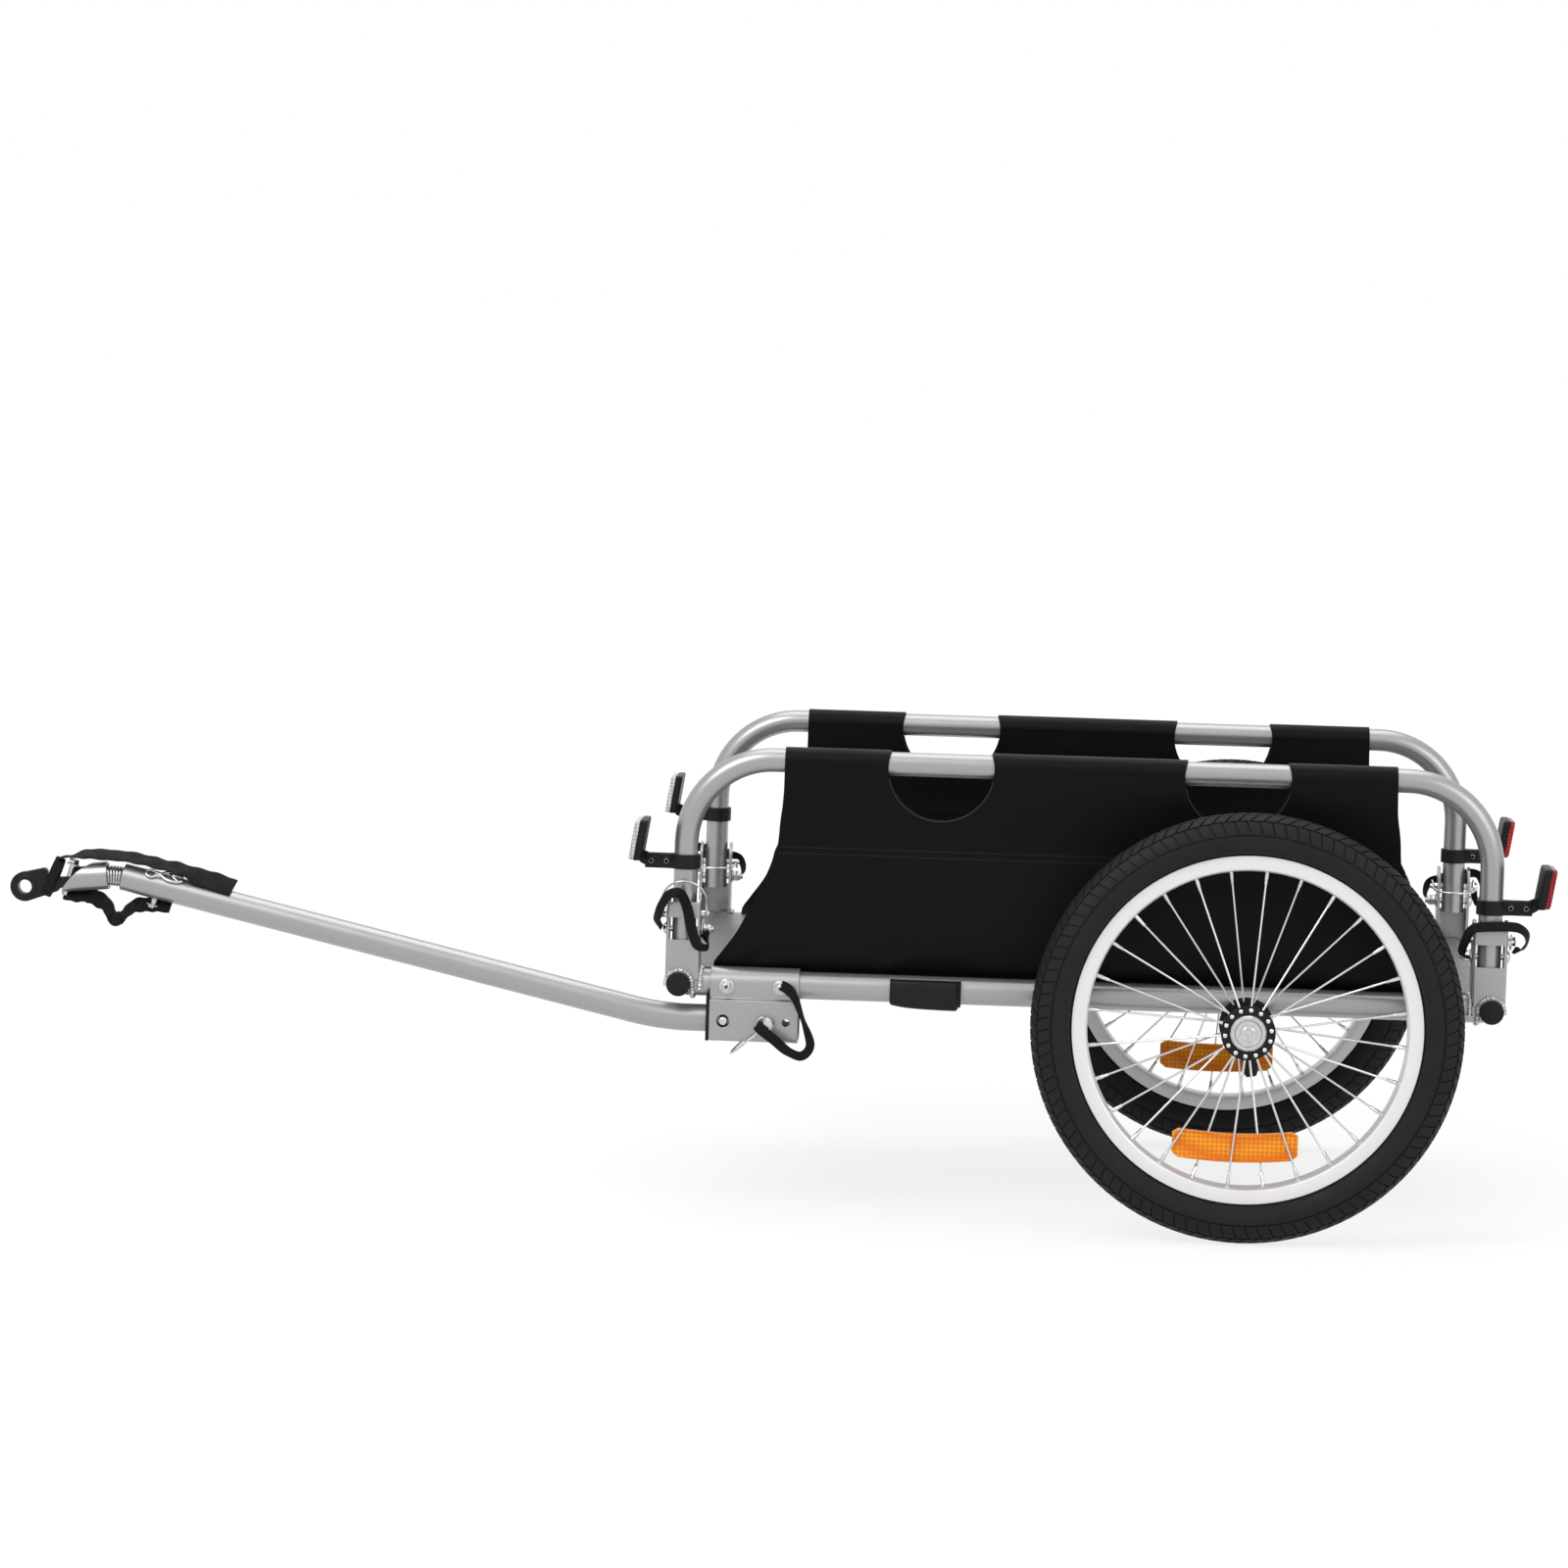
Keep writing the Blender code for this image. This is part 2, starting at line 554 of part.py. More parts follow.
def build_reflector(end, side, surface):
    """A lens in its backing tray on a short arm, held between the clamp's ears on a screw."""
    outward = ENDS[end][1]
    pivot = arm_pivot(end, side)
    arm = arc(0, 0, 0.0060, 90, 270, 6) + list(REFLECTOR_ARM)
    bm = bmesh.new()
    add_plate(bm, arm, lambda a, b, c: pivot + Vector((outward * a, c, b)), -0.0022, 0.0022)
    reflector = finish(f"reflector_{end}_{side}", bm, surface, pivot)
    lean = math.tan(REFLECTOR_TILT)
    wide, corner, low, high = REFLECTOR_HALF_WIDTH, REFLECTOR_CORNER, REFLECTOR_LOW, REFLECTOR_HIGH
    middle = (low + high) / 2
    corners = [(-wide + corner, low), (wide - corner, low), (wide, low + corner), (wide, high - corner),
               (wide - corner, high), (-wide + corner, high), (-wide, high - corner),
               (-wide, low + corner)]
    rings = []
    for depth, inset in REFLECTOR_DEPTHS:
        ring = []
        for a, b in corners:
            across = a - math.copysign(inset, a)
            height = b - math.copysign(inset, b - middle)
            along = outward * (REFLECTOR_FACES[end] + depth) + lean * height
            ring.append(pivot + Vector((along, across, height)))
        rings.append(ring)
    tray = bmesh.new()
    loft(tray, rings)
    cut(reflector, tray, "UNION")
    screw = bmesh.new()
    add_turned(screw, [(-0.0060, ARM_SCREW), (0.0060, ARM_SCREW)], pivot, Vector((0, 1, 0)), 8)
    cut(reflector, screw, "UNION")


# Lock pins of the hoops
def bail_bow(centre, axis, lean, half_width, reach, foot=BAIL_START, count=8):
    """Two straight legs and a half circle of wire, from the pin's head end over to its tip."""
    leg = reach - half_width
    bow = [(half_width * math.cos(t), leg + half_width * math.sin(t))
           for t in [math.pi * i / count for i in range(count + 1)]]
    path = [(half_width, foot)] + bow + [(-half_width, foot)]
    return [centre + axis * a + lean * d for a, d in path]


def build_lock_pin(end, side, zinc):
    """A headed pin pushed in from the outer end through both bracket ears and the hoop's foot."""
    x, outward = ENDS[end]
    centre = at(x, SIDES[side] * SIDE_Y, RAIL_Z + LOCK_RISE)
    axis = Vector((outward, 0, 0))
    face = BRACKET_HALF_WIDTH + GAP
    stations = [(-PIN_TIP - 0.0015, 0.0016), (-PIN_TIP + 0.0010, PIN_RADIUS), (face, PIN_RADIUS),
                (face, 0.0048), (face + 0.0068, 0.0048), (face + 0.0078, 0.0038)]
    bm = bmesh.new()
    add_turned(bm, stations, centre, axis, 8)
    pin = finish(f"lock_pin_{end}_{side}", bm, zinc, centre)
    hinge = bail_lean(end, side).cross(axis).normalized()
    drill(pin, [centre + axis * PIN_HEAD], BAIL_WIRE + GAP, hinge, 0.01, 6)


def bail_lean(end, side):
    """The front left bail stands up over the bracket's outer face. The others reach inboard."""
    sign = SIDES[side]
    if (end, side) == ("front", "left"):
        tilt = math.radians(60)
        return Vector((0, sign * math.cos(tilt), math.sin(tilt)))
    tilt = math.radians(-5)
    return Vector((0, -sign * math.cos(tilt), math.sin(tilt)))


def build_lock_bail(end, side, wire):
    """A wire bow hinged through the pin's head, whose free end catches beside the pin's tip."""
    x, outward = ENDS[end]
    centre = at(x, SIDES[side] * SIDE_Y, RAIL_Z + LOCK_RISE)
    axis = Vector((outward, 0, 0))
    lean = bail_lean(end, side)
    hinge = lean.cross(axis).normalized()
    head = centre + axis * PIN_HEAD
    beside = PIN_RADIUS + BAIL_WIRE + 0.0007
    tip = centre - axis * (BAIL_HALF_WIDTH + 0.0006)
    start = [head - hinge * 0.0064, head + hinge * 0.0064, head + hinge * 0.0072 + lean * 0.0050]
    hook = [tip + hinge * beside + lean * 0.0035, tip + hinge * beside - lean * 0.0035]
    bow = bail_bow(centre, axis, lean, BAIL_HALF_WIDTH, BAIL_REACH)
    bm = bmesh.new()
    add_rod(bm, start + bow + hook, BAIL_WIRE, 5, hinge)
    finish(f"lock_bail_{end}_{side}", bm, wire, head)


def build_tow_pin_strap(webbing):
    """The webbing strap that keeps the tow pin: from the rear receiver bolt, looping down to the pin."""
    z = RAIL_Z - TOW_DROP
    outer = -SIDE_Y - RECEIVER_HALF_WIDTH
    route = [(RECEIVER_REAR - 0.012, outer - 0.002, RAIL_Z + 0.004),
             (RECEIVER_REAR - 0.002, outer - 0.004, RAIL_Z - 0.006),
             (RECEIVER_REAR + 0.008, outer - 0.007, z + 0.001),
             (RECEIVER_REAR + 0.013, outer - 0.010, z - 0.022),
             (RECEIVER_REAR + 0.003, outer - 0.012, z - 0.036),
             (TOW_PIN_X + 0.014, outer - 0.014, z - 0.026),
             (TOW_PIN_X + 0.0105, outer - 0.012, z - 0.011)]
    points = smooth_path([at(*p) for p in route], 3)
    facing = [Vector((1, 0, 0.3)), Vector((1, 0, 0)), Vector((1, 0.5, 0)), Vector((0.5, 1, 0)),
              Vector((0, 1, -0.6)), Vector((-0.6, 0.6, -0.6)), Vector((-1, 0.2, 0.3))]
    bm = bmesh.new()
    add_ribbon(bm, points, smooth_path(facing, 3), 0.011, 0.0012)
    finish("tow_pin_strap", bm, webbing)


# Tow receiver under the left rail
def receiver_outline(grow):
    """A keyhole section: a saddle over the rail, a joggle, then a channel round the liner."""
    radius = RAIL_RADIUS + GAP + grow
    half = RECEIVER_HALF_WIDTH - RECEIVER_PLATE + grow
    low = -RECEIVER_DROP + RECEIVER_PLATE - grow
    points = arc(0, 0, radius, 0, 180, 10)
    upper, lower = -RECEIVER_JOGGLE - grow * 0.2, -RECEIVER_JOGGLE - 0.0026 + grow * 0.2
    points += [(-radius, upper), (-half, lower), (-half, low)]
    points += [(half, low), (half, lower), (radius, upper)]
    return points


def on_left_rail(a, b, c):
    """A point a to the right of the left rail's axis and b above it, c behind the wheel axle."""
    return at(c, -SIDE_Y + a, RAIL_Z + b)


def build_receiver(paint):
    bm = bmesh.new()
    ends = (RECEIVER_REAR, RECEIVER_FRONT)
    inner = [[on_left_rail(a, b, c) for a, b in receiver_outline(0)] for c in ends]
    outer = [[on_left_rail(a, b, c) for a, b in receiver_outline(RECEIVER_PLATE)] for c in reversed(ends)]
    loft(bm, inner + outer, closed=True)
    receiver = finish("tow_receiver", bm, paint)
    axis_z = RAIL_Z - TOW_DROP
    drill(receiver, [at(TOW_PIN_X, -SIDE_Y, axis_z), at(SPARE_HOLE_X, -SIDE_Y, axis_z)],
          TOW_PIN_RADIUS + GAP, Vector((0, 1, 0)), 0.03)
    drill(receiver, [at(SNAP_X, -SIDE_Y - 0.018, axis_z)], SNAP_HOLE_RADIUS, Vector((0, 1, 0)), 0.006)


def build_liner(plastic):
    """The plastic bush that fills the channel and guides the tow bar, with a collar in front."""
    half = RECEIVER_HALF_WIDTH - RECEIVER_PLATE - GAP
    top, low = -0.0176, -RECEIVER_DROP + RECEIVER_PLATE + GAP
    bm = bmesh.new()
    body = [(-half, top), (-half, low), (half, low), (half, top)]
    add_plate(bm, body, on_left_rail, RECEIVER_REAR, RECEIVER_FRONT - 0.001)
    liner = finish("receiver_liner", bm, plastic)
    collar = bmesh.new()
    wide = RECEIVER_HALF_WIDTH
    plate = [(-wide, -0.0100), (-wide, -RECEIVER_DROP), (wide, -RECEIVER_DROP), (wide, -0.0100)]
    add_plate(collar, plate, on_left_rail, RECEIVER_FRONT - GAP, RECEIVER_FRONT - LINER_COLLAR)
    cut(liner, collar, "UNION")
    drill(liner, [at(RECEIVER_FRONT, -SIDE_Y, RAIL_Z)], RAIL_RADIUS + GAP, Vector((1, 0, 0)), 0.05, 16)
    axis_z = RAIL_Z - TOW_DROP
    drill(liner, [at(RECEIVER_FRONT + 0.04, -SIDE_Y, axis_z)], TOW_RADIUS + GAP, Vector((1, 0, 0)),
          0.08, 18)
    drill(liner, [at(TOW_PIN_X, -SIDE_Y, axis_z), at(SPARE_HOLE_X, -SIDE_Y, axis_z)], TOW_PIN_RADIUS + GAP,
          Vector((0, 1, 0)), 0.03)
    drill(liner, [at(SNAP_X, -SIDE_Y - 0.0125, axis_z)], SNAP_HOLE_RADIUS, Vector((0, 1, 0)), 0.008)


def build_rail_block(plastic):
    """A moulded block clipped on the left rail, swelling outward, with a step at its rear end."""
    bm = bmesh.new()
    front, rear = -0.3300, -0.2640
    stations = ((0.00, 0.0150, -0.0128), (0.04, 0.0168, -0.0142), (0.25, 0.0190, -0.0160),
                (0.55, 0.0200, -0.0168), (0.93, 0.0200, -0.0172), (0.955, 0.0180, -0.0160),
                (0.97, 0.0164, -0.0145), (1.00, 0.0160, -0.0140))
    rings = []
    for t, bulge, low in stations:
        x = front + (rear - front) * t
        face = [(bulge - 0.0025, 0.0100), (bulge, 0.0075), (bulge, low + 0.004), (bulge - 0.003, low)]
        section = face + [(-0.0060, low)] + arc(0, 0, RAIL_RADIUS + GAP, 244, 410, 8)
        rings.append([at(x, -SIDE_Y - a, RAIL_Z + b) for a, b in section])
    loft(bm, rings)
    finish("rail_block_left", bm, plastic)


# Tow bar, its pins and the hitch
def tow_path():
    """From inside the receiver, forward, round the bend and up the straight to the spring end."""
    z = RAIL_Z - TOW_DROP
    setback = TOW_BEND_RADIUS * math.tan(TOW_RISE / 2)
    centre_z = z + TOW_BEND_RADIUS
    start_x = TOW_BEND_X + setback
    bend = arc(start_x, centre_z, TOW_BEND_RADIUS, 270, 270 - math.degrees(TOW_RISE), 4)
    end_z = z + (TOW_BEND_X - TOW_FRONT_X) * math.tan(TOW_RISE)
    points = [(TOW_REAR_X, z)] + bend + [(TOW_FRONT_X, end_z)]
    return [at(x, -SIDE_Y, height) for x, height in points]


def tow_axis():
    return Vector((-math.cos(TOW_RISE), 0, math.sin(TOW_RISE)))


def hitch_axis():
    return Vector((-math.cos(HITCH_DROOP), 0, -math.sin(HITCH_DROOP)))


def hitch_pivot():
    return tow_path()[-1] + tow_axis() * JOINT_HALF_GAP


def build_tow_bar(paint):
    bm = bmesh.new()
    add_pipe(bm, tow_path(), TOW_RADIUS, TOW_WALL, 14)
    bar = finish("tow_bar", bm, paint, tow_path()[0])
    axis_z = RAIL_Z - TOW_DROP
    drill(bar, [at(TOW_PIN_X, -SIDE_Y, axis_z)], TOW_PIN_RADIUS + GAP, Vector((0, 1, 0)), 0.03)
    drill(bar, [at(SNAP_X, -SIDE_Y - TOW_RADIUS, axis_z)], SNAP_RADIUS + GAP, Vector((0, 1, 0)), 0.006)


def build_snap_button(zinc):
    """A sprung button that pops out through the receiver's side. Its leaf spring sits in the tube."""
    centre = at(SNAP_X, -SIDE_Y - TOW_RADIUS, RAIL_Z - TOW_DROP)
    stations = [(-0.0048, 0.0050), (-0.0034, 0.0050), (-0.0034, SNAP_RADIUS), (0.0060, SNAP_RADIUS),
                (0.0078, 0.0030)]
    bm = bmesh.new()
    add_turned(bm, stations, centre, Vector((0, -1, 0)), 12)
    finish("snap_button", bm, zinc, centre)


def tow_pin_head():
    return at(TOW_PIN_X, -SIDE_Y - RECEIVER_HALF_WIDTH - GAP - 0.0050, RAIL_Z - TOW_DROP)


def build_tow_pin(zinc):
    centre = at(TOW_PIN_X, -SIDE_Y, RAIL_Z - TOW_DROP)
    outer = Vector((0, -1, 0))
    face = RECEIVER_HALF_WIDTH + GAP
    stations = [(-0.0270, 0.0018), (-0.0245, TOW_PIN_RADIUS), (face, TOW_PIN_RADIUS), (face, 0.0058),
                (face + 0.010, 0.0058), (face + 0.012, 0.0044)]
    bm = bmesh.new()
    add_turned(bm, stations, centre, outer, 12)
    pin = finish("tow_pin", bm, zinc, centre)
    drill(pin, [tow_pin_head()], BAIL_WIRE + GAP, TOW_BAIL_LEAN.cross(outer), 0.012, 8)


def build_tow_bail(wire):
    """The tow pin's wire bow, which passes forward and down round the receiver to the pin's tip."""
    outer = Vector((0, -1, 0))
    hinge = TOW_BAIL_LEAN.cross(outer).normalized()
    head = tow_pin_head()
    centre = at(TOW_PIN_X, -SIDE_Y, RAIL_Z - TOW_DROP)
    half = (centre - head).length + 0.0004
    bow = bail_bow(centre, outer, TOW_BAIL_LEAN, half, 0.048, 0.0140, 10)
    start = [head - hinge * 0.0074, head + hinge * 0.0074, head + hinge * 0.0084 + TOW_BAIL_LEAN * 0.0075]
    beside = TOW_PIN_RADIUS + BAIL_WIRE + 0.0007
    tip = centre - outer * (half + 0.0006)
    hook = [tip + hinge * beside + TOW_BAIL_LEAN * 0.0040, tip + hinge * beside - TOW_BAIL_LEAN * 0.0035]
    bm = bmesh.new()
    add_rod(bm, start + bow + hook, BAIL_WIRE, 5, hinge)
    finish("tow_bail", bm, wire, head)


def spring_points():
    """The coil's line: an arc tangent to the tow bar's axis at one end and the hitch's at the other."""
    turn = TOW_RISE + HITCH_DROOP
    mean = (TOW_RISE - HITCH_DROOP) / 2
    radius = SPRING_LENGTH / turn
    mean_along = Vector((-math.cos(mean), 0, math.sin(mean)))
    mean_up = Vector((math.sin(mean), 0, math.cos(mean)))
    hub = hitch_pivot() - mean_up * (radius / math.cos(turn / 2))
    points = []
    total = SPRING_TURNS * SPRING_POINTS_PER_TURN
    for i in range(total + 1):
        bend = turn * (i / total - 0.5)
        up = mean_up * math.cos(bend) + mean_along * math.sin(bend)
        spin = 2 * math.pi * i / SPRING_POINTS_PER_TURN
        spoke = up * math.cos(spin) + Vector((0, 1, 0)) * math.sin(spin)
        points.append(hub + up * radius + spoke * SPRING_RADIUS)
    return points


def least_self_gap(points, wire):
    """Least clear distance between stretches of the coil more than half a turn apart."""
    skip = SPRING_POINTS_PER_TURN // 2
    least = 1.0
    for i, a in enumerate(points):
        for b in points[i + skip:]:
            least = min(least, (a - b).length - 2 * wire)
    return least


def build_spring(steel):
    points = spring_points()
    print(f"coupler spring: least gap to itself {least_self_gap(points, SPRING_WIRE) * 1000:.2f} mm")
    curve = bpy.data.curves.new("coupler_spring", "CURVE")
    curve.dimensions = "3D"
    curve.bevel_depth = SPRING_WIRE
    curve.bevel_resolution = 1
    curve.use_fill_caps = True
    spline = curve.splines.new("POLY")
    spline.points.add(len(points) - 1)
    pivot = hitch_pivot()
    for point, place in zip(spline.points, points):
        point.co = (*(place - pivot), 1.0)
    obj = bpy.data.objects.new("coupler_spring", curve)
    obj.location = pivot
    bpy.context.scene.collection.objects.link(obj)
    curve.materials.append(steel)


def hitch_place(s, w, c):
    """A point s along the hitch from its pivot, w above its axis and c to the right."""
    axis = hitch_axis()
    up = Vector((-math.sin(HITCH_DROOP), 0, math.cos(HITCH_DROOP)))
    return hitch_pivot() + axis * s + up * w + Vector((0, c, 0))


def eye_reach():
    """How far along the sleeve's axis the eye lies, its centre a little below that axis."""
    forward = hitch_pivot().x - (AXLE_X - EYE_REACH) + EYE_DROP * math.sin(HITCH_DROOP)
    return forward / math.cos(HITCH_DROOP)


def build_coupler_sleeve(paint):
    """The tube past the spring, its front end cut back in a curve, round the hitch arm's shank."""
    pivot, axis = hitch_pivot(), hitch_axis()
    bm = bmesh.new()
    add_pipe(bm, [pivot + axis * JOINT_HALF_GAP, pivot + axis * SLEEVE_LONG], SLEEVE_OUTER,
             SLEEVE_OUTER - SHANK_RADIUS - GAP, 16)
    sleeve = finish("coupler_sleeve", bm, paint, pivot)
    seat_radius = SPRING_RADIUS + SPRING_WIRE + 3 * GAP
    drill(sleeve, [pivot + axis * JOINT_HALF_GAP], seat_radius, axis, SEAT_DEPTH, 16)
    mitre = bmesh.new()
    beyond = SLEEVE_LONG + 0.02
    outline = list(SLEEVE_NOSE) + [(beyond, SLEEVE_NOSE[-1][1]), (beyond, SLEEVE_NOSE[0][1])]
    add_plate(mitre, outline, hitch_place, -0.02, 0.02)
    cut(sleeve, mitre)


def build_hitch_arm(black):
    """A flat forged eye with a raised collar, stepping down to a round shank inside the sleeve."""
    pivot = hitch_pivot()
    eye = eye_reach()
    nose = arc(eye, -EYE_DROP, EYE_RADIUS, -100, 96, 12)
    outline = nose + list(ARM_UPPER) + list(ARM_LOWER)
    bm = bmesh.new()
    add_plate(bm, outline, hitch_place, -EYE_HALF_THICKNESS, EYE_HALF_THICKNESS)
    arm = finish("hitch_arm", bm, black, pivot)
    shank = bmesh.new()
    stations = [(SHANK_START, SHANK_RADIUS - 0.0020), (SHANK_START + 0.0020, SHANK_RADIUS),
                (SHANK_START + 0.0180, SHANK_RADIUS)]
    add_turned(shank, stations, pivot, hitch_axis(), 16)
    cut(arm, shank, "UNION")
    collar = bmesh.new()
    add_turned(collar, [(-COLLAR_HALF_WIDTH, COLLAR_RADIUS), (COLLAR_HALF_WIDTH, COLLAR_RADIUS)],
               hitch_place(eye, -EYE_DROP, 0), Vector((0, 1, 0)), 16)
    cut(arm, collar, "UNION")
    drill(arm, [hitch_place(eye, -EYE_DROP, 0)], EYE_BORE, Vector((0, 1, 0)), 0.02, 16)


def on_tow(back, rise, side):
    """A point back along the tow bar from its front end, above its axis and to the right."""
    up = Vector((math.sin(TOW_RISE), 0, math.cos(TOW_RISE)))
    return tow_path()[-1] - tow_axis() * back + up * rise + Vector((0, side, 0))


def build_safety_strap(webbing):
    """Webbing sewn round the hitch arm: one tail runs back over the spring, one hangs below it."""
    across = Vector((0, 1, 0))
    bm = bmesh.new()
    low, high = 0.0560, 0.0640
    rings = []
    for s, grow in ((low, 0.0018), (high, 0.0018), (high, 0), (low, 0)):
        half_high, half_wide = 0.0148 + grow, 0.0092 + grow
        turns = [2 * math.pi * i / 14 for i in range(14)]
        ring = [(half_high * math.sin(t) - 0.0020, half_wide * math.cos(t)) for t in turns]
        rings.append([hitch_place(s, w, c) for w, c in ring])
    loft(bm, rings, closed=True)
    strap = finish("safety_strap", bm, webbing, tow_path()[-1])
    top = [hitch_place(0.062, 0.0136, 0), hitch_place(0.050, 0.0172, 0), hitch_place(0.036, 0.0205, 0),
           hitch_place(0.016, 0.0245, 0), on_tow(0.002, 0.0245, 0), on_tow(0.020, 0.0225, 0),
           on_tow(0.045, 0.0185, 0), on_tow(0.070, 0.0165, 0), on_tow(0.095, 0.0160, 0),
           on_tow(0.112, 0.0150, 0)]
    below = [hitch_place(0.062, -0.0175, 0), hitch_place(0.046, -0.0165, 0),
             hitch_place(0.028, -0.0175, 0), hitch_place(0.012, -0.0260, 0),
             hitch_place(0.000, -0.0400, 0), on_tow(0.006, -0.0385, 0), on_tow(0.016, -0.0250, 0),
             on_tow(0.032, -0.0175, 0), on_tow(0.050, -0.0150, 0)]
    for route, width in ((top, 0.025), (below, 0.020)):
        path = smooth_path(route, 2)
        tail = bmesh.new()
        add_ribbon(tail, path, [across] * len(path), width, 0.0018)
        cut(strap, tail, "UNION")


def build_strap_hook(zinc):
    """A snap hook on the strap's free end, lying along the near side of the tow bar."""
    side = -TOW_RADIUS - 0.0022
    turns = [2 * math.pi * i / 16 for i in range(15)]
    loop = [on_tow(0.033 + 0.017 * math.cos(t), 0.0052 * math.sin(t) + 0.006, side) for t in turns]
    bm = bmesh.new()
    add_rod(bm, loop, 0.0013, 6, Vector((0, 1, 0)))
    finish("strap_hook", bm, zinc, tow_path()[-1])


# Wheels
def tyre_section():
    """Tread, sidewall and bead outside, and the hollow that the inner tube fills."""
    low = RIM_RADIUS - 0.0040
    middle = TYRE_RADIUS - TYRE_HALF_WIDTH
    neck = RIM_HALF_WIDTH - RIM_WALL - GAP
    foot = RIM_RADIUS + GAP
    outer = [(-neck, low), (-neck, foot)] + arc(0, middle, TYRE_HALF_WIDTH, 216, -36, 8)
    outer += [(neck, foot), (neck, low)]
    inner = [(neck - 0.004, low)] + arc(0, middle, TYRE_HALF_WIDTH - 0.004, -20, 200, 3)
    return outer + inner + [(-neck + 0.004, low)]


def add_wheel_ring(bm, section, hub, sign):
    """Turn a closed (outboard offset, radius) section about the wheel's axle."""
    rings = []
    for i in range(WHEEL_SEGMENTS):
        t = 2 * math.pi * i / WHEEL_SEGMENTS
        spoke = Vector((math.sin(t), 0, math.cos(t)))
        rings.append([hub + spoke * r + Vector((0, sign * a, 0)) for a, r in section])
    loft(bm, rings, closed=True)


def build_tyre(side, hub, rubber):
    bm = bmesh.new()
    add_wheel_ring(bm, tyre_section(), hub, SIDES[side])
    finish(f"tyre_{side}", bm, rubber, hub)


def build_rim(side, hub, alloy):
    """A channel rim for the tyre's beads, with its radial spokes and their nipples fixed in it."""
    w, wall, low = RIM_HALF_WIDTH, RIM_WALL, RIM_INNER_RADIUS
    half = [(w, RIM_RADIUS), (w - wall, RIM_RADIUS), (w - wall, low + 0.0055), (w - 0.006, low + wall)]
    base = [(w - 0.004, low), (w, low + 0.0040)]
    section = half + [(-x, r) for x, r in reversed(half)] + [(-x, r) for x, r in reversed(base)] + base
    bm = bmesh.new()
    add_wheel_ring(bm, section, hub, SIDES[side])
    rim = finish(f"spoked_rim_{side}", bm, alloy, hub)
    spokes = bmesh.new()
    add_spokes(spokes, side, hub)
    cut(rim, spokes, "UNION")


def spoke_angles(flange):
    """Angles from straight up: the two flanges are laced half a pitch apart."""
    pitch = 2 * math.pi / SPOKES_PER_FLANGE
    return [SPOKE_PHASE + pitch * (i + (0 if flange == 1 else 0.5)) for i in range(SPOKES_PER_FLANGE)]


def radial(angle):
    return Vector((math.sin(angle), 0, math.cos(angle)))


def spoke_offset(radius):
    """How far outboard of the wheel's middle plane a spoke's line lies at this radius."""
    root = FLANGE_OFFSET - FLANGE_THICKNESS / 2 - SPOKE_RADIUS - GAP
    share = (RIM_INNER_RADIUS - radius) / (RIM_INNER_RADIUS - SPOKE_CIRCLE_RADIUS)
    return SPOKE_RIM_OFFSET + (root - SPOKE_RIM_OFFSET) * share


def add_spokes(bm, side, hub):
    """Straight spokes along the flanges' inner faces, out into the rim."""
    for flange in (1, -1):
        out = Vector((0, SIDES[side] * flange, 0))
        for angle in spoke_angles(flange):
            ray = radial(angle)
            ends = [SPOKE_CIRCLE_RADIUS - 0.0015, RIM_INNER_RADIUS + 0.0012]
            path = [hub + ray * r + out * spoke_offset(r) for r in ends]
            add_rod(bm, path, SPOKE_RADIUS, 5, ray.cross(out))


def build_hub(side, hub, black):
    """A barrel with two flanges, turned round the axle's bore, with a dust cap outside."""
    f, t = FLANGE_OFFSET, FLANGE_THICKNESS / 2
    bore = AXLE_RADIUS + GAP
    section = [(-HUB_INNER_END, bore), (-HUB_INNER_END, 0.0085), (-f - t, 0.0160),
               (-f - t, FLANGE_RADIUS), (-f + t, FLANGE_RADIUS), (-f + t, 0.0140), (-0.0180, 0.0110),
               (0.0180, 0.0110), (f - t, 0.0140), (f - t, FLANGE_RADIUS), (f + t, FLANGE_RADIUS),
               (f + t, 0.0160), (HUB_OUTER_END + 0.0012, 0.0150), (HUB_OUTER_END + 0.0012, 0.0125),
               (HUB_OUTER_END, 0.0115), (HUB_OUTER_END, bore)]
    bm = bmesh.new()
    add_turned(bm, section, hub, Vector((0, SIDES[side], 0)), 16, closed=True)
    finish(f"hub_{side}", bm, black, hub)


def build_wheel_reflector(side, hub, amber):
    """A bowed amber bar clipped behind the lower outboard spokes, leaning with them."""
    sign = SIDES[side]
    half, tall, corner = REFLECTOR_BAR_HALF, 0.0137, 0.004

    def place(a, b, c):
        bow = REFLECTOR_BAR_BOW * ((a / half) ** 2 - 0.5)
        radius = REFLECTOR_BAR_RADIUS + b - bow
        along = a + REFLECTOR_BAR_SHIFT
        plane = spoke_offset(math.hypot(along, radius)) - SPOKE_RADIUS - 2 * GAP
        return hub + Vector((along, sign * (plane - c), -radius))

    steps = 8
    upper = [(-half + 2 * half * i / steps, -tall) for i in range(steps + 1)]
    upper[0], upper[-1] = (-half, -tall + corner), (half, -tall + corner)
    lower = [(a, -b) for a, b in reversed(upper)]
    bm = bmesh.new()
    add_plate(bm, upper + lower, place, 0.0, REFLECTOR_BAR_DEPTH)
    finish(f"wheel_reflector_{side}", bm, amber, hub)


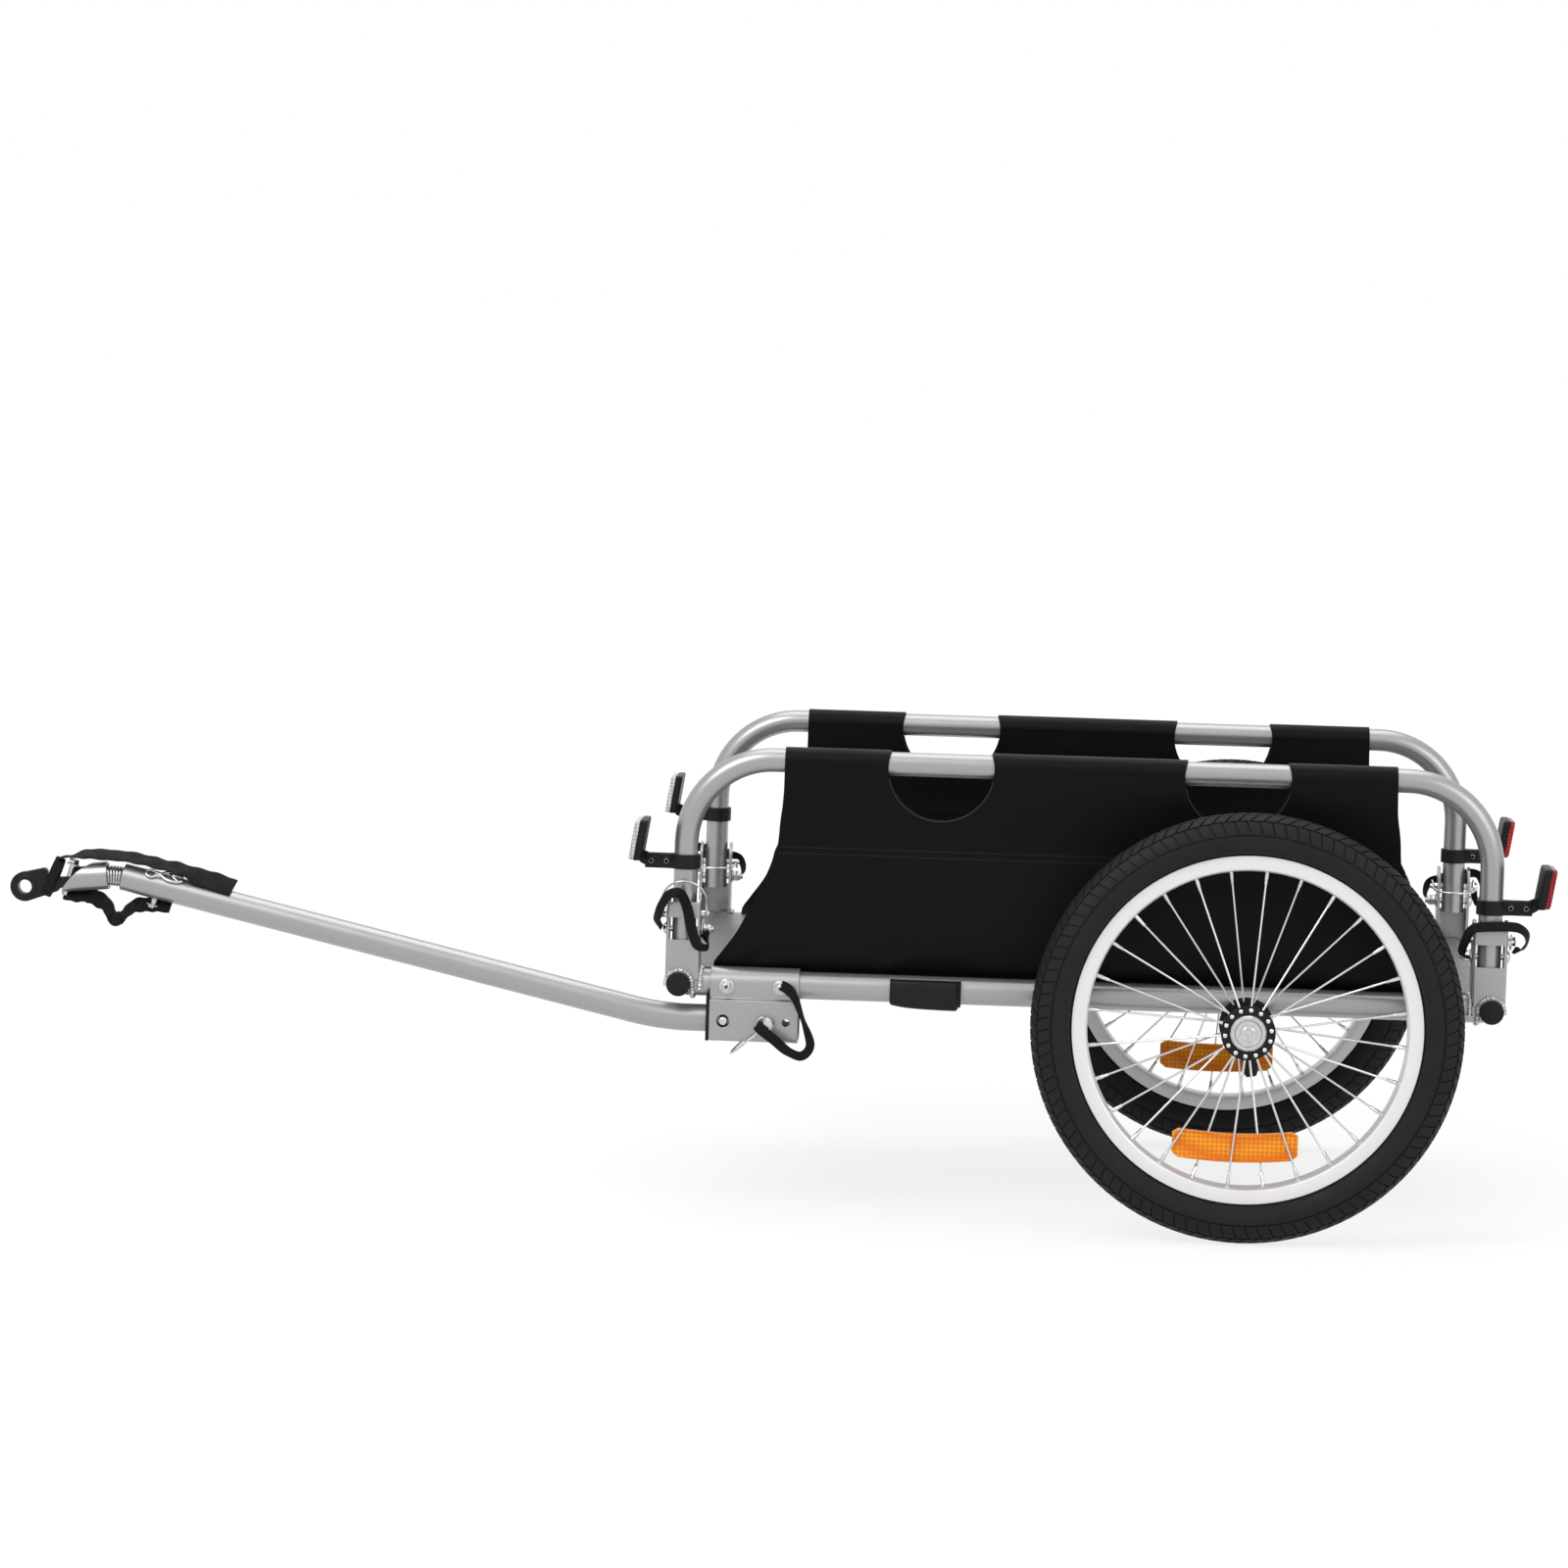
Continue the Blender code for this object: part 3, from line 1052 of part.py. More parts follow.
def build_axle(side, zinc):
    """A quick-release axle through the frame's sleeve and the hub, with its outer end nut."""
    sign = SIDES[side]
    sleeve_end = SIDE_Y - SLEEVE_INBOARD - GAP
    face = WHEEL_Y + HUB_OUTER_END + GAP
    stations = [(SIDE_Y - 0.0290, 0.0085), (sleeve_end, 0.0085), (sleeve_end, AXLE_RADIUS),
                (face, AXLE_RADIUS), (face, 0.0072), (face + 0.0020, 0.0072), (face + 0.0028, 0.0062)]
    bm = bmesh.new()
    add_turned(bm, stations, at(0, 0, TYRE_RADIUS), Vector((0, sign, 0)), 12)
    finish(f"wheel_axle_{side}", bm, zinc, at(0, sign * WHEEL_Y, TYRE_RADIUS))


def build_lever(side, plastic):
    """The quick-release lever, hanging inboard of the rail on a cam across the axle's inner end."""
    sign = SIDES[side]
    pivot = at(0, sign * LEVER_Y, TYRE_RADIUS)
    bm = bmesh.new()
    add_turned(bm, [(-0.0075, 0.0048), (0.0075, 0.0048)], pivot, Vector((1, 0, 0)), 12)
    lever = finish(f"axle_lever_{side}", bm, plastic, pivot)
    along = Vector((math.sin(LEVER_SWING), 0, -math.cos(LEVER_SWING)))
    across = Vector((math.cos(LEVER_SWING), 0, math.sin(LEVER_SWING)))
    rings = []
    for s, half, offset, thick in LEVER_STATIONS:
        middle = pivot + along * s + Vector((0, sign * offset, 0))
        section = [(-1, -0.6), (0, -1), (1, -0.6), (1, 0.6), (0, 1), (-1, 0.6)]
        rings.append([middle + across * (half * a) + Vector((0, thick * b, 0)) for a, b in section])
    paddle = bmesh.new()
    loft(paddle, rings)
    cut(lever, paddle, "UNION")


def build_wheel(side, finishes):
    hub = at(0, SIDES[side] * WHEEL_Y, TYRE_RADIUS)
    build_tyre(side, hub, finishes["rubber"])
    build_rim(side, hub, finishes["alloy"])
    build_hub(side, hub, finishes["black_plastic"])
    build_wheel_reflector(side, hub, finishes["amber"])
    build_axle(side, finishes["zinc"])
    build_lever(side, finishes["black_plastic"])


def make_finishes():
    return {
        "silver_paint": material("silver_paint", (0.56, 0.57, 0.58), 0.36, 0.75),
        "zinc": material("zinc_plate", (0.72, 0.74, 0.76), 0.28, 1.0),
        "alloy": material("rim_alloy", (0.80, 0.80, 0.81), 0.34, 0.8),
        "rubber": material("tyre_rubber", (0.022, 0.022, 0.023), 0.72),
        "black_plastic": material("black_plastic", (0.018, 0.018, 0.019), 0.42),
        "cloth": material("coated_cloth", (0.014, 0.014, 0.015), 0.48),
        "webbing": material("black_webbing", (0.016, 0.016, 0.017), 0.82),
        "black_casting": material("black_casting", (0.020, 0.020, 0.021), 0.38, 0.4),
        "amber": material("amber_lens", (0.90, 0.30, 0.02), 0.22),
        "red": material("red_lens", (0.62, 0.02, 0.03), 0.22),
        "clear": material("clear_lens", (0.78, 0.80, 0.82), 0.20),
    }


def build():
    clear_scene()
    finishes = make_finishes()
    paint, zinc = finishes["silver_paint"], finishes["zinc"]
    plastic, cloth, webbing = finishes["black_plastic"], finishes["cloth"], finishes["webbing"]
    build_bed_panel(paint)
    for end in ENDS:
        build_cross_tube(end, paint)
    for side, sign in SIDES.items():
        build_side_rail(side, sign, paint)
        build_hoop(side, paint)
        build_side_cloth(side, cloth)
        build_skirt(side, cloth)
        build_wheel(side, finishes)
        for end in ENDS:
            build_bracket(end, side, paint)
            build_pivot_bolt(end, side, zinc)
            build_lock_pin(end, side, zinc)
            build_lock_bail(end, side, zinc)
            build_reflector_clamp(end, side, plastic)
            build_reflector(end, side, finishes["clear" if end == "front" else "red"])
    build_rail_block(plastic)
    build_receiver(paint)
    build_liner(plastic)
    build_tow_bar(paint)
    build_snap_button(zinc)
    build_tow_pin(zinc)
    build_tow_bail(zinc)
    build_tow_pin_strap(webbing)
    build_spring(zinc)
    build_coupler_sleeve(paint)
    build_hitch_arm(finishes["black_casting"])
    build_safety_strap(webbing)
    build_strap_hook(zinc)


build()
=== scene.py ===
import math
import random

import bmesh
import bpy
from mathutils import Matrix, Vector


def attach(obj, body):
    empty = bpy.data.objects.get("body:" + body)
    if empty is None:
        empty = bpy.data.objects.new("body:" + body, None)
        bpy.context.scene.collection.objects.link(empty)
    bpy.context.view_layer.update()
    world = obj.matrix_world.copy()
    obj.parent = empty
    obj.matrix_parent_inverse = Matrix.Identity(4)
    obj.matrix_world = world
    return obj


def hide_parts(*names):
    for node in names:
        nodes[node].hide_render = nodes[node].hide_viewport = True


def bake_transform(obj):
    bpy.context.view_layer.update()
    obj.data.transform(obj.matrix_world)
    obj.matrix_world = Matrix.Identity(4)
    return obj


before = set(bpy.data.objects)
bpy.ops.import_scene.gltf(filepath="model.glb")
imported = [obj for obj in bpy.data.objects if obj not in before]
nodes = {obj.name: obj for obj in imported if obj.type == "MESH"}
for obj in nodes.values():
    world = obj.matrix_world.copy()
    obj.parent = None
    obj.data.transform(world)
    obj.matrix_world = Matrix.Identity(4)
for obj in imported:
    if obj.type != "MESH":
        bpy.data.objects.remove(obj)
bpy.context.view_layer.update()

print("frame loaded:", len(nodes), "nodes")

# Where the trailer's main lines run, in metres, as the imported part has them
trailer = {"axleX": 0.4378, "wheelRadius": 0.199, "wheelY": 0.287, "sideY": 0.23, "railZ": 0.2172,
           "frontX": -0.5235, "rearX": 0.2225, "setOut": 0.0028, "topZ": 0.427, "gap": 0.0003}
sides = {"left": -1, "right": 1}
ends = {"front": (trailer["frontX"], -1), "rear": (trailer["rearX"], 1)}
corners = [(end, side) for end in ends for side in sides]
sideY, railZ, gap, wheelRadius = (trailer[k] for k in ("sideY", "railZ", "gap", "wheelRadius"))
acrossY, alongX = Vector((0, 1, 0)), Vector((1, 0, 0))


def at(forward, y, z):
    # forward is the distance behind the wheel axle
    return Vector((trailer["axleX"] + forward, y, z))


def onUpright(end, side, z):
    # a point in the middle of a hoop's foot, and the way along the trailer that leads off the bed there
    x, outward = ends[end]
    return at(x, sides[side] * sideY, z), alongX * outward


# Mesh helpers
def limited(t):
    return min(1.0, max(0.0, t))


def spin(count, steps=None):
    # the angles of a full turn in count steps
    return [2 * math.pi * i / count for i in range(steps or count)]


def alongAt(points, i):
    return (points[min(i + 1, len(points) - 1)] - points[max(i - 1, 0)]).normalized()


def loft(bm, rings, closed=False, capped=True):
    made = [[bm.verts.new(p) for p in ring] for ring in rings]
    pairs = list(zip(made, made[1:]))
    if closed:
        pairs.append((made[-1], made[0]))
    for a, b in pairs:
        for i in range(len(a)):
            j = (i + 1) % len(a)
            bm.faces.new((a[i], a[j], b[j], b[i]))
    if capped and not closed:
        bm.faces.new(list(reversed(made[0])))
        bm.faces.new(made[-1])
    return made


def closeStrip(bm, ring, steps):
    # fills a thin ring, the second half of which runs back beside the first
    last = len(ring) - 1
    for i in range(steps):
        bm.faces.new((ring[i], ring[i + 1], ring[last - 1 - i], ring[last - i]))


def pathFrames(points, side):
    found = []
    for i, point in enumerate(points):
        along = alongAt(points, i)
        u = (side - along * side.dot(along)).normalized()
        found.append((point, u, along.cross(u)))
    return found


def circle(centre, u, v, radius, count):
    return [centre + u * (radius * math.cos(t)) + v * (radius * math.sin(t)) for t in spin(count)]


def addRod(bm, points, radius, count, side=acrossY):
    loft(bm, [circle(p, u, v, radius, count) for p, u, v in pathFrames(points, side)])


def addPipe(bm, points, radius, wall, count, side=acrossY):
    steps = pathFrames(points, side)
    outer = [circle(p, u, v, radius, count) for p, u, v in steps]
    inner = [circle(p, u, v, radius - wall, count) for p, u, v in reversed(steps)]
    loft(bm, outer + inner, closed=True)


def addTurned(bm, stations, centre, axis, count, closed=False):
    # stations are (distance along the axis, radius)
    axis = axis.normalized()
    u = axis.orthogonal().normalized()
    v = axis.cross(u)
    loft(bm, [circle(centre + axis * a, u, v, r, count) for a, r in stations], closed)


def addPlate(bm, outline, place, low, high):
    loft(bm, [[place(a, b, c) for a, b in outline] for c in (low, high)])


def arc(cx, cy, radius, start, end, count):
    turns = [math.radians(start + (end - start) * i / count) for i in range(count + 1)]
    return [(cx + radius * math.cos(t), cy + radius * math.sin(t)) for t in turns]


def smoothPath(points, steps):
    padded = [points[0] * 2 - points[1]] + points + [points[-1] * 2 - points[-2]]
    path = []
    for a, b, c, d in zip(padded, padded[1:], padded[2:], padded[3:]):
        for i in range(steps):
            t = i / steps
            path.append(0.5 * (2 * b + (c - a) * t + (2 * a - 5 * b + 4 * c - d) * t * t
                               + (3 * b - a - 3 * c + d) * t ** 3))
    return path + [points[-1]]


def smoothOutline(points, steps):
    return [tuple(p) for p in smoothPath([Vector(p) for p in points], steps)]


def bendCorner(here, before, after, reach, steps):
    # a corner turned into a short bend that starts and ends at reach from it
    here, before, after = Vector(here), Vector(before), Vector(after)
    a, b = here + (before - here).normalized() * reach, here + (after - here).normalized() * reach
    bend = []
    for k in range(steps + 1):
        t = k / steps
        bend.append(tuple(a * (1 - t) ** 2 + here * (2 * t * (1 - t)) + b * t ** 2))
    return bend


def roundCorners(points, radius, steps):
    made = []
    for i, here in enumerate(points):
        made += bendCorner(here, points[i - 1], points[(i + 1) % len(points)], radius, steps)
    return made


def addHex(bm, centre, axis, across, low, high, chamfer=0.0006):
    # a six-sided nut or head with its corners turned off
    r = across / math.sqrt(3)
    addTurned(bm, [(low, r - chamfer), (low + chamfer, r), (high - chamfer, r), (high, r - chamfer)],
              centre, axis, 6)


# Small waves along a strap's length and across its width
ripple = {"fine": 310, "fineAcross": 2.3, "coarse": 170, "coarseAcross": 3.1, "coarseShare": 0.6, "hem": 0.5}


def addStrap(bm, points, facing, width, thick, columns, crumple, seed, taper):
    # a flat woven strap. facing gives the direction of its width, and the result each vertex's flat spot
    rings, spots, length, last = [], [], 0.0, len(points) - 1
    for i, point in enumerate(points):
        length += (point - points[i - 1]).length if i else 0.0
        along = alongAt(points, i)
        w = (facing[i] - along * facing[i].dot(along)).normalized()
        n = along.cross(w)
        fade = math.sin(math.pi * i / last) ** 0.5 if 0 < i < last else 0.0
        wide = width * (taper[i] if taper else 1)
        ring = []
        for way in (1, -1):
            for c in range(columns + 1):
                a = (-1 + 2 * c / columns) * way
                wave = math.sin(length * ripple["fine"] * seed + a * ripple["fineAcross"])
                wave += ripple["coarseShare"] * math.sin(length * ripple["coarse"] + seed
                                                         - a * ripple["coarseAcross"])
                push = crumple * fade * wave + way * thick / 2 * (1 - ripple["hem"] * a ** 6)
                ring.append(point + w * (a * wide / 2) + n * push)
                spots.append((a * wide / 2, length))
        rings.append(ring)
    made = loft(bm, rings)
    return dict(zip([v for ring in made for v in ring], spots))


def layFlat(bm, places):
    # the flat coordinate that a weave follows, in metres
    layer = bm.loops.layers.uv.new("UVMap")
    for face in bm.faces:
        for loop in face.loops:
            loop[layer].uv = places[loop.vert]


def built(add, *shape, **options):
    bm = bmesh.new()
    add(bm, *shape, **options)
    return bm


def link(name, data):
    made = bpy.data.objects.new(name, data)
    bpy.context.scene.collection.objects.link(made)
    return made


def meshObject(name, bm):
    bmesh.ops.recalc_face_normals(bm, faces=bm.faces)
    mesh = bpy.data.meshes.new(name)
    bm.to_mesh(mesh)
    bm.free()
    return link(name, mesh)


def smoothShade(mesh, angle=35):
    mesh.shade_smooth()
    mesh.set_sharp_from_angle(angle=math.radians(angle))


def finishPiece(name, bm, look, angle=35):
    piece = meshObject(name, bm)
    piece.data.materials.append(looks[look])
    smoothShade(piece.data, angle)
    return piece


def softenEdges(piece, width, segments=2, angle=35):
    bevel = piece.modifiers.new("edges", "BEVEL")
    bevel.width = width
    bevel.segments = segments
    bevel.limit_method = "ANGLE"
    bevel.angle_limit = math.radians(angle)
    return piece


def cutWith(piece, bm, operation="DIFFERENCE"):
    # the cut is made at once, so the piece is left as one plain mesh
    cutter = meshObject("cutter", bm)
    step = piece.modifiers.new("cut", "BOOLEAN")
    step.operation = operation
    step.solver = "EXACT"
    step.object = cutter
    bpy.context.view_layer.update()
    old = piece.data
    piece.data = bpy.data.meshes.new_from_object(piece.evaluated_get(bpy.context.evaluated_depsgraph_get()))
    piece.modifiers.clear()
    bpy.data.meshes.remove(old)
    piece.data.name = piece.name
    smoothShade(piece.data)
    bpy.data.objects.remove(cutter, do_unlink=True)


def drill(piece, points, radius, direction, reach, count=32):
    bm = bmesh.new()
    for point in points:
        addTurned(bm, [(-reach, radius), (reach, radius)], point, direction, count)
    cutWith(piece, bm)


def dress(piece, look, body, *replaced, slotName=None):
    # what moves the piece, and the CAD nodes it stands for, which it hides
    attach(piece, body)
    if replaced:
        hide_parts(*replaced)
    return piece


def makePiece(name, bm, look, body, *replaced, angle=35, slotName=None):
    return dress(finishPiece(name, bm, look, angle), look, body, *replaced, slotName=slotName)


def bridge(piece, look, bodies, start, end, *replaced):
    # a piece that lies between two bodies: the CAD nodes it replaces are hidden and its place is baked into its
    # mesh
    if replaced:
        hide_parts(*replaced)
    tuple(start)
    tuple(end)
    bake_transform(piece)


def strapPiece(name, points, facing, width, thick, columns, crumple, seed, taper=None):
    bm = bmesh.new()
    layFlat(bm, addStrap(bm, points, facing, width, thick, columns, crumple, seed, taper))
    return finishPiece(name, bm, "webbing", 60)


# Effects that several materials share
def feed(tree, socket, value):
    # links another node's output, or sets a plain value
    if isinstance(value, bpy.types.NodeSocket):
        tree.links.new(value, socket)
    else:
        socket.default_value = value


def addNode(tree, kind, **values):
    node = tree.nodes.new(f"ShaderNode{kind}")
    for label, value in values.items():
        feed(tree, node.inputs[label.replace("_", " ")], value)
    return node


def addMath(tree, operation, a, b=None):
    node = addNode(tree, "Math")
    node.operation = operation
    feed(tree, node.inputs[0], a)
    if b is not None:
        feed(tree, node.inputs[1], b)
    return node.outputs[0]


def addMix(tree, factor, first, second):
    node = addNode(tree, "Mix")
    node.data_type = "RGBA"
    for label, value in (("Factor", factor), ("A", first), ("B", second)):
        feed(tree, node.inputs[label], value)
    return node.outputs["Result"]


def newGroup(name, inputs, outputs):
    # inputs and outputs are label and plain value: a number, or Color or Vector for the other kinds
    group = bpy.data.node_groups.new(name, "ShaderNodeTree")
    for label, value in inputs.items():
        kind = value if isinstance(value, str) else "Float"
        socket = group.interface.new_socket(label, in_out="INPUT", socket_type=f"NodeSocket{kind}")
        if kind == "Float":
            socket.default_value = value
    for label, kind in outputs.items():
        group.interface.new_socket(label, in_out="OUTPUT", socket_type=f"NodeSocket{kind}")
    return group, group.nodes.new("NodeGroupInput").outputs, group.nodes.new("NodeGroupOutput").inputs


def makeMottleGroup():
    # colour that drifts a little over the surface, with fine flecks in it
    group, start, end = newGroup("mottle", {"Color": "Color", "Second": "Color", "Patch Scale": 12.0,
                                            "Fleck Scale": 900.0, "Fleck Share": 0.3},
                                 {"Color": "Color"})
    where = addNode(group, "TexCoord").outputs["Object"]
    patch, fleck = (addNode(group, "TexNoise", Detail=detail, Vector=where, Scale=start[label]).outputs["Fac"]
                    for label, detail in (("Patch Scale", 4.0), ("Fleck Scale", 2.0)))
    fleck = addMath(group, "MULTIPLY", fleck, start["Fleck Share"])
    patch = addMath(group, "MULTIPLY", patch, addMath(group, "SUBTRACT", 1.0, start["Fleck Share"]))
    mask = addMath(group, "ADD", fleck, patch)
    feed(group, end["Color"], addMix(group, mask, start["Color"], start["Second"]))
    return group


def makeGrainGroup():
    # a fine pebbled or brushed height, with slow roughness change
    group, start, end = newGroup("grain", {"Scale": 600.0, "Stretch": "Vector", "Rough Low": 0.3,
                                           "Rough High": 0.4}, {"Height": "Float", "Roughness": "Float"})
    where = addNode(group, "TexCoord").outputs["Object"]
    stretch = addNode(group, "VectorMath")
    stretch.operation = "MULTIPLY"
    feed(group, stretch.inputs[0], where)
    feed(group, stretch.inputs[1], start["Stretch"])
    fine = addNode(group, "TexNoise", Detail=3.0, Vector=stretch.outputs[0], Scale=start["Scale"])
    slow = addNode(group, "TexNoise", Detail=5.0, Vector=where, Scale=26.0)
    ramp = addNode(group, "MapRange", From_Min=0.3, From_Max=0.7, Value=slow.outputs["Fac"],
                   To_Min=start["Rough Low"], To_Max=start["Rough High"])
    feed(group, end["Height"], fine.outputs["Fac"])
    feed(group, end["Roughness"], ramp.outputs["Result"])
    return group


def makeWeaveGroup():
    # over and under threads from a flat coordinate in metres
    group, start, end = newGroup("weave", {"Vector": "Vector", "Warp Pitch": 0.0006, "Weft Pitch": 0.0006},
                                 {"Height": "Float"})
    split = addNode(group, "SeparateXYZ", Vector=start["Vector"])
    waves = []
    for axis, pitch in (("X", "Warp Pitch"), ("Y", "Weft Pitch")):
        turns = addMath(group, "DIVIDE", addMath(group, "MULTIPLY", split.outputs[axis], math.pi), start[pitch])
        waves.append(addMath(group, "SINE", turns))
    feed(group, end["Height"], addMath(group, "ABSOLUTE", addMath(group, "MULTIPLY", *waves)))
    return group


mottle, grain, weave = makeMottleGroup(), makeGrainGroup(), makeWeaveGroup()


def newLook(name, settings):
    look = bpy.data.materials.new(name)
    look.use_nodes = True
    shader = look.node_tree.nodes["Principled BSDF"]
    for label, value in settings.items():
        shader.inputs[label].default_value = value
    return look, look.node_tree, shader


def addGroup(tree, group, **values):
    node = tree.nodes.new("ShaderNodeGroup")
    node.node_tree = group
    for label, value in values.items():
        feed(tree, node.inputs[label.replace("_", " ")], value)
    return node.outputs


def addBump(tree, shader, height, depth):
    bump = addNode(tree, "Bump", Distance=depth, Height=height)
    feed(tree, shader.inputs["Normal"], bump.outputs["Normal"])


def addSkin(tree, shader, color, second, patch, fleck, share, scale, stretch, rough):
    # the drifting colour and the grain that most finishes have
    tint = addGroup(tree, mottle, Color=(*color, 1), Second=(*second, 1), Patch_Scale=patch, Fleck_Scale=fleck,
                    Fleck_Share=share)
    feed(tree, shader.inputs["Base Color"], tint["Color"])
    surface = addGroup(tree, grain, Scale=scale, Stretch=stretch, Rough_Low=rough[0], Rough_High=rough[1])
    feed(tree, shader.inputs["Roughness"], surface["Roughness"])
    return surface["Height"]


def plainLook(name, color, second, settings, mottling, scale, rough, depth, stretch=(1, 1, 1)):
    look, tree, shader = newLook(name, settings)
    addBump(tree, shader, addSkin(tree, shader, color, second, *mottling, scale, stretch, rough), depth)
    return look


# Each finish: its name, two colours, plain settings, size of patches and flecks and the flecks' share,
# the grain's scale, lowest and highest roughness, and the grain's depth
plainLooks = {
    "paint": ("silverPaint", (0.325, 0.33, 0.335), (0.38, 0.385, 0.39), {"Metallic": 0.75, "Coat Weight": 0.15,
        "Coat Roughness": 0.15}, (9.0, 2000.0, 0.6), 1600.0, (0.3, 0.37), 0.000003),
    # the weld beads are the frame's silver paint, made lighter and speckled as painted glints
    "weld": ("weldBead", (0.42, 0.425, 0.43), (0.66, 0.665, 0.67), {"Metallic": 0.8}, (300.0, 1500.0, 0.5),
        700.0, (0.18, 0.3), 0.0002),
    # the bed sheet is silver paint, its colour darkened to about half the frame's as painted shade and painted
    # reflection of the black side walls
    "sheet": ("bedSheet", (0.15, 0.153, 0.156), (0.2, 0.204, 0.207), {"Metallic": 0.6}, (5.0, 1800.0, 0.6),
        1200.0, (0.34, 0.46), 0.000012, (0.25, 1, 1)),
    # the zinc's colour swings between dark and bright patches as painted reflections
    "zinc": ("zincPlate", (0.34, 0.36, 0.38), (0.8, 0.79, 0.75), {"Metallic": 1.0}, (190.0, 900.0, 0.25), 500.0,
        (0.12, 0.3), 0.00006),
    "alloy": ("rimAlloy", (0.7, 0.69, 0.705), (0.8, 0.79, 0.8), {"Metallic": 0.35}, (10.0, 1500.0, 0.5), 1300.0,
        (0.32, 0.42), 0.000008),
    "spoke": ("spokeSteel", (0.6, 0.61, 0.62), (0.7, 0.71, 0.72), {"Metallic": 1.0}, (40.0, 900.0, 0.3), 900.0,
        (0.16, 0.26), 0.000004),
    "rubber": ("tyreRubber", (0.007, 0.007, 0.0075), (0.014, 0.014, 0.015), {"Specular IOR Level": 0.17}, (14.0,
        700.0, 0.4), 800.0, (0.52, 0.68), 0.00005),
    "plastic": ("mouldedPlastic", (0.0055, 0.0055, 0.006), (0.01, 0.01, 0.0105), {"Specular IOR Level": 0.18},
        (20.0, 900.0, 0.4), 1400.0, (0.36, 0.5), 0.00003),
    "casting": ("coatedForging", (0.005, 0.005, 0.0055), (0.01, 0.01, 0.011), {"Specular IOR Level": 0.22},
        (30.0, 900.0, 0.4), 700.0, (0.3, 0.42), 0.00004),
    "oxide": ("blackScrew", (0.07, 0.07, 0.075), (0.15, 0.15, 0.16), {"Metallic": 1.0}, (60.0, 900.0, 0.3),
        900.0, (0.22, 0.34), 0.00001),
    "rawEdge": ("clothEdge", (0.03, 0.029, 0.028), (0.07, 0.067, 0.064), {"Specular IOR Level": 0.2}, (30.0,
        1500.0, 0.5), 2500.0, (0.6, 0.75), 0.00003),
    "thread": ("blackThread", (0.014, 0.014, 0.015), (0.026, 0.026, 0.028), {"Specular IOR Level": 0.3}, (40.0,
        1800.0, 0.5), 3000.0, (0.45, 0.6), 0.00004)}
# Each lens: its name, the colour of the prisms' faces and of the painted shade between them, and the prisms'
# pitch
lenses = {
    "amber": ("amberLens", (1.0, 0.42, 0.01), (0.78, 0.17, 0.0), 0.0042),
    "red": ("redLens", (0.62, 0.012, 0.018), (0.16, 0.0, 0.003), 0.0036),
    "clear": ("clearLens", (0.82, 0.83, 0.85), (0.36, 0.36, 0.4), 0.0036)}
# Each cloth: its name, two colours, the pitches of warp and weft, the threads' depth, settings, roughness
cloths = {
    "cloth": ("coatedCloth", (0.003, 0.003, 0.0033), (0.0052, 0.0052, 0.0056), 0.0006, 0.0006, 0.00005,
        {"Specular IOR Level": 0.075}, (0.32, 0.42)),
    "webbing": ("blackWebbing", (0.0045, 0.0045, 0.005), (0.01, 0.01, 0.011), 0.0011, 0.0022, 0.00025,
        {"Specular IOR Level": 0.1, "Sheen Weight": 0.02, "Sheen Roughness": 0.5}, (0.6, 0.75))}


def lensLook(name, color, deep, pitch):
    # moulded prisms: small pyramids that tilt the surface every pitch metres, each coloured darker towards its
    # edges as painted shade
    look, tree, shader = newLook(name, {"Roughness": 0.25, "Specular IOR Level": 0.25, "Coat Weight": 0.15,
                                        "Coat Roughness": 0.05})
    where = addNode(tree, "TexCoord").outputs["Object"]
    cells = addNode(tree, "TexVoronoi", Scale=1 / pitch, Randomness=0.0, Vector=where).outputs["Distance"]
    # painted shade: the colour darkens from each prism's middle towards its edges
    prismShadeMask = addNode(tree, "MapRange", From_Min=0.15, From_Max=0.6, Value=cells).outputs["Result"]
    feed(tree, shader.inputs["Base Color"], addMix(tree, prismShadeMask, (*color, 1), (*deep, 1)))
    addBump(tree, shader, cells, pitch * 0.2)
    return look


def clothLook(name, color, second, warp, weft, depth, settings, rough):
    look, tree, shader = newLook(name, settings)
    addSkin(tree, shader, color, second, 7.0, 300.0, 0.25, 500.0, (1, 1, 1), rough)
    flat = addNode(tree, "UVMap").outputs["UV"]
    threads = addGroup(tree, weave, Vector=flat, Warp_Pitch=warp, Weft_Pitch=weft)
    addBump(tree, shader, threads["Height"], depth)
    return look


looks = {key: make(*row) for make, rows in ((plainLook, plainLooks), (lensLook, lenses), (clothLook, cloths))
         for key, row in rows.items()}
print("materials made:", len(looks))

# Camera, as the photograph was taken
camera = {"place": (0.24449, -5.14174, 0.8585), "yaw": 2.81, "pitch": 5.27, "roll": 1.65, "lens": 122.144,
          "sensor": 36.0, "farthest": 60.0}


def makeCamera():
    y, p, r = (math.radians(camera[k]) for k in ("yaw", "pitch", "roll"))
    ahead = Vector((-math.sin(y) * math.cos(p), math.cos(y) * math.cos(p), -math.sin(p)))
    right = Vector((math.cos(y), math.sin(y), 0))
    up = right.cross(ahead)
    right, up = right * math.cos(r) + up * math.sin(r), up * math.cos(r) - right * math.sin(r)
    data = bpy.data.cameras.new("photoCamera")
    data.lens = camera["lens"]
    data.sensor_width = camera["sensor"]
    data.clip_end = camera["farthest"]
    made = link("photoCamera", data)
    made.matrix_world = Matrix((right, up, -ahead)).transposed().to_4x4()
    made.location = camera["place"]
    bpy.context.scene.camera = made


makeCamera()

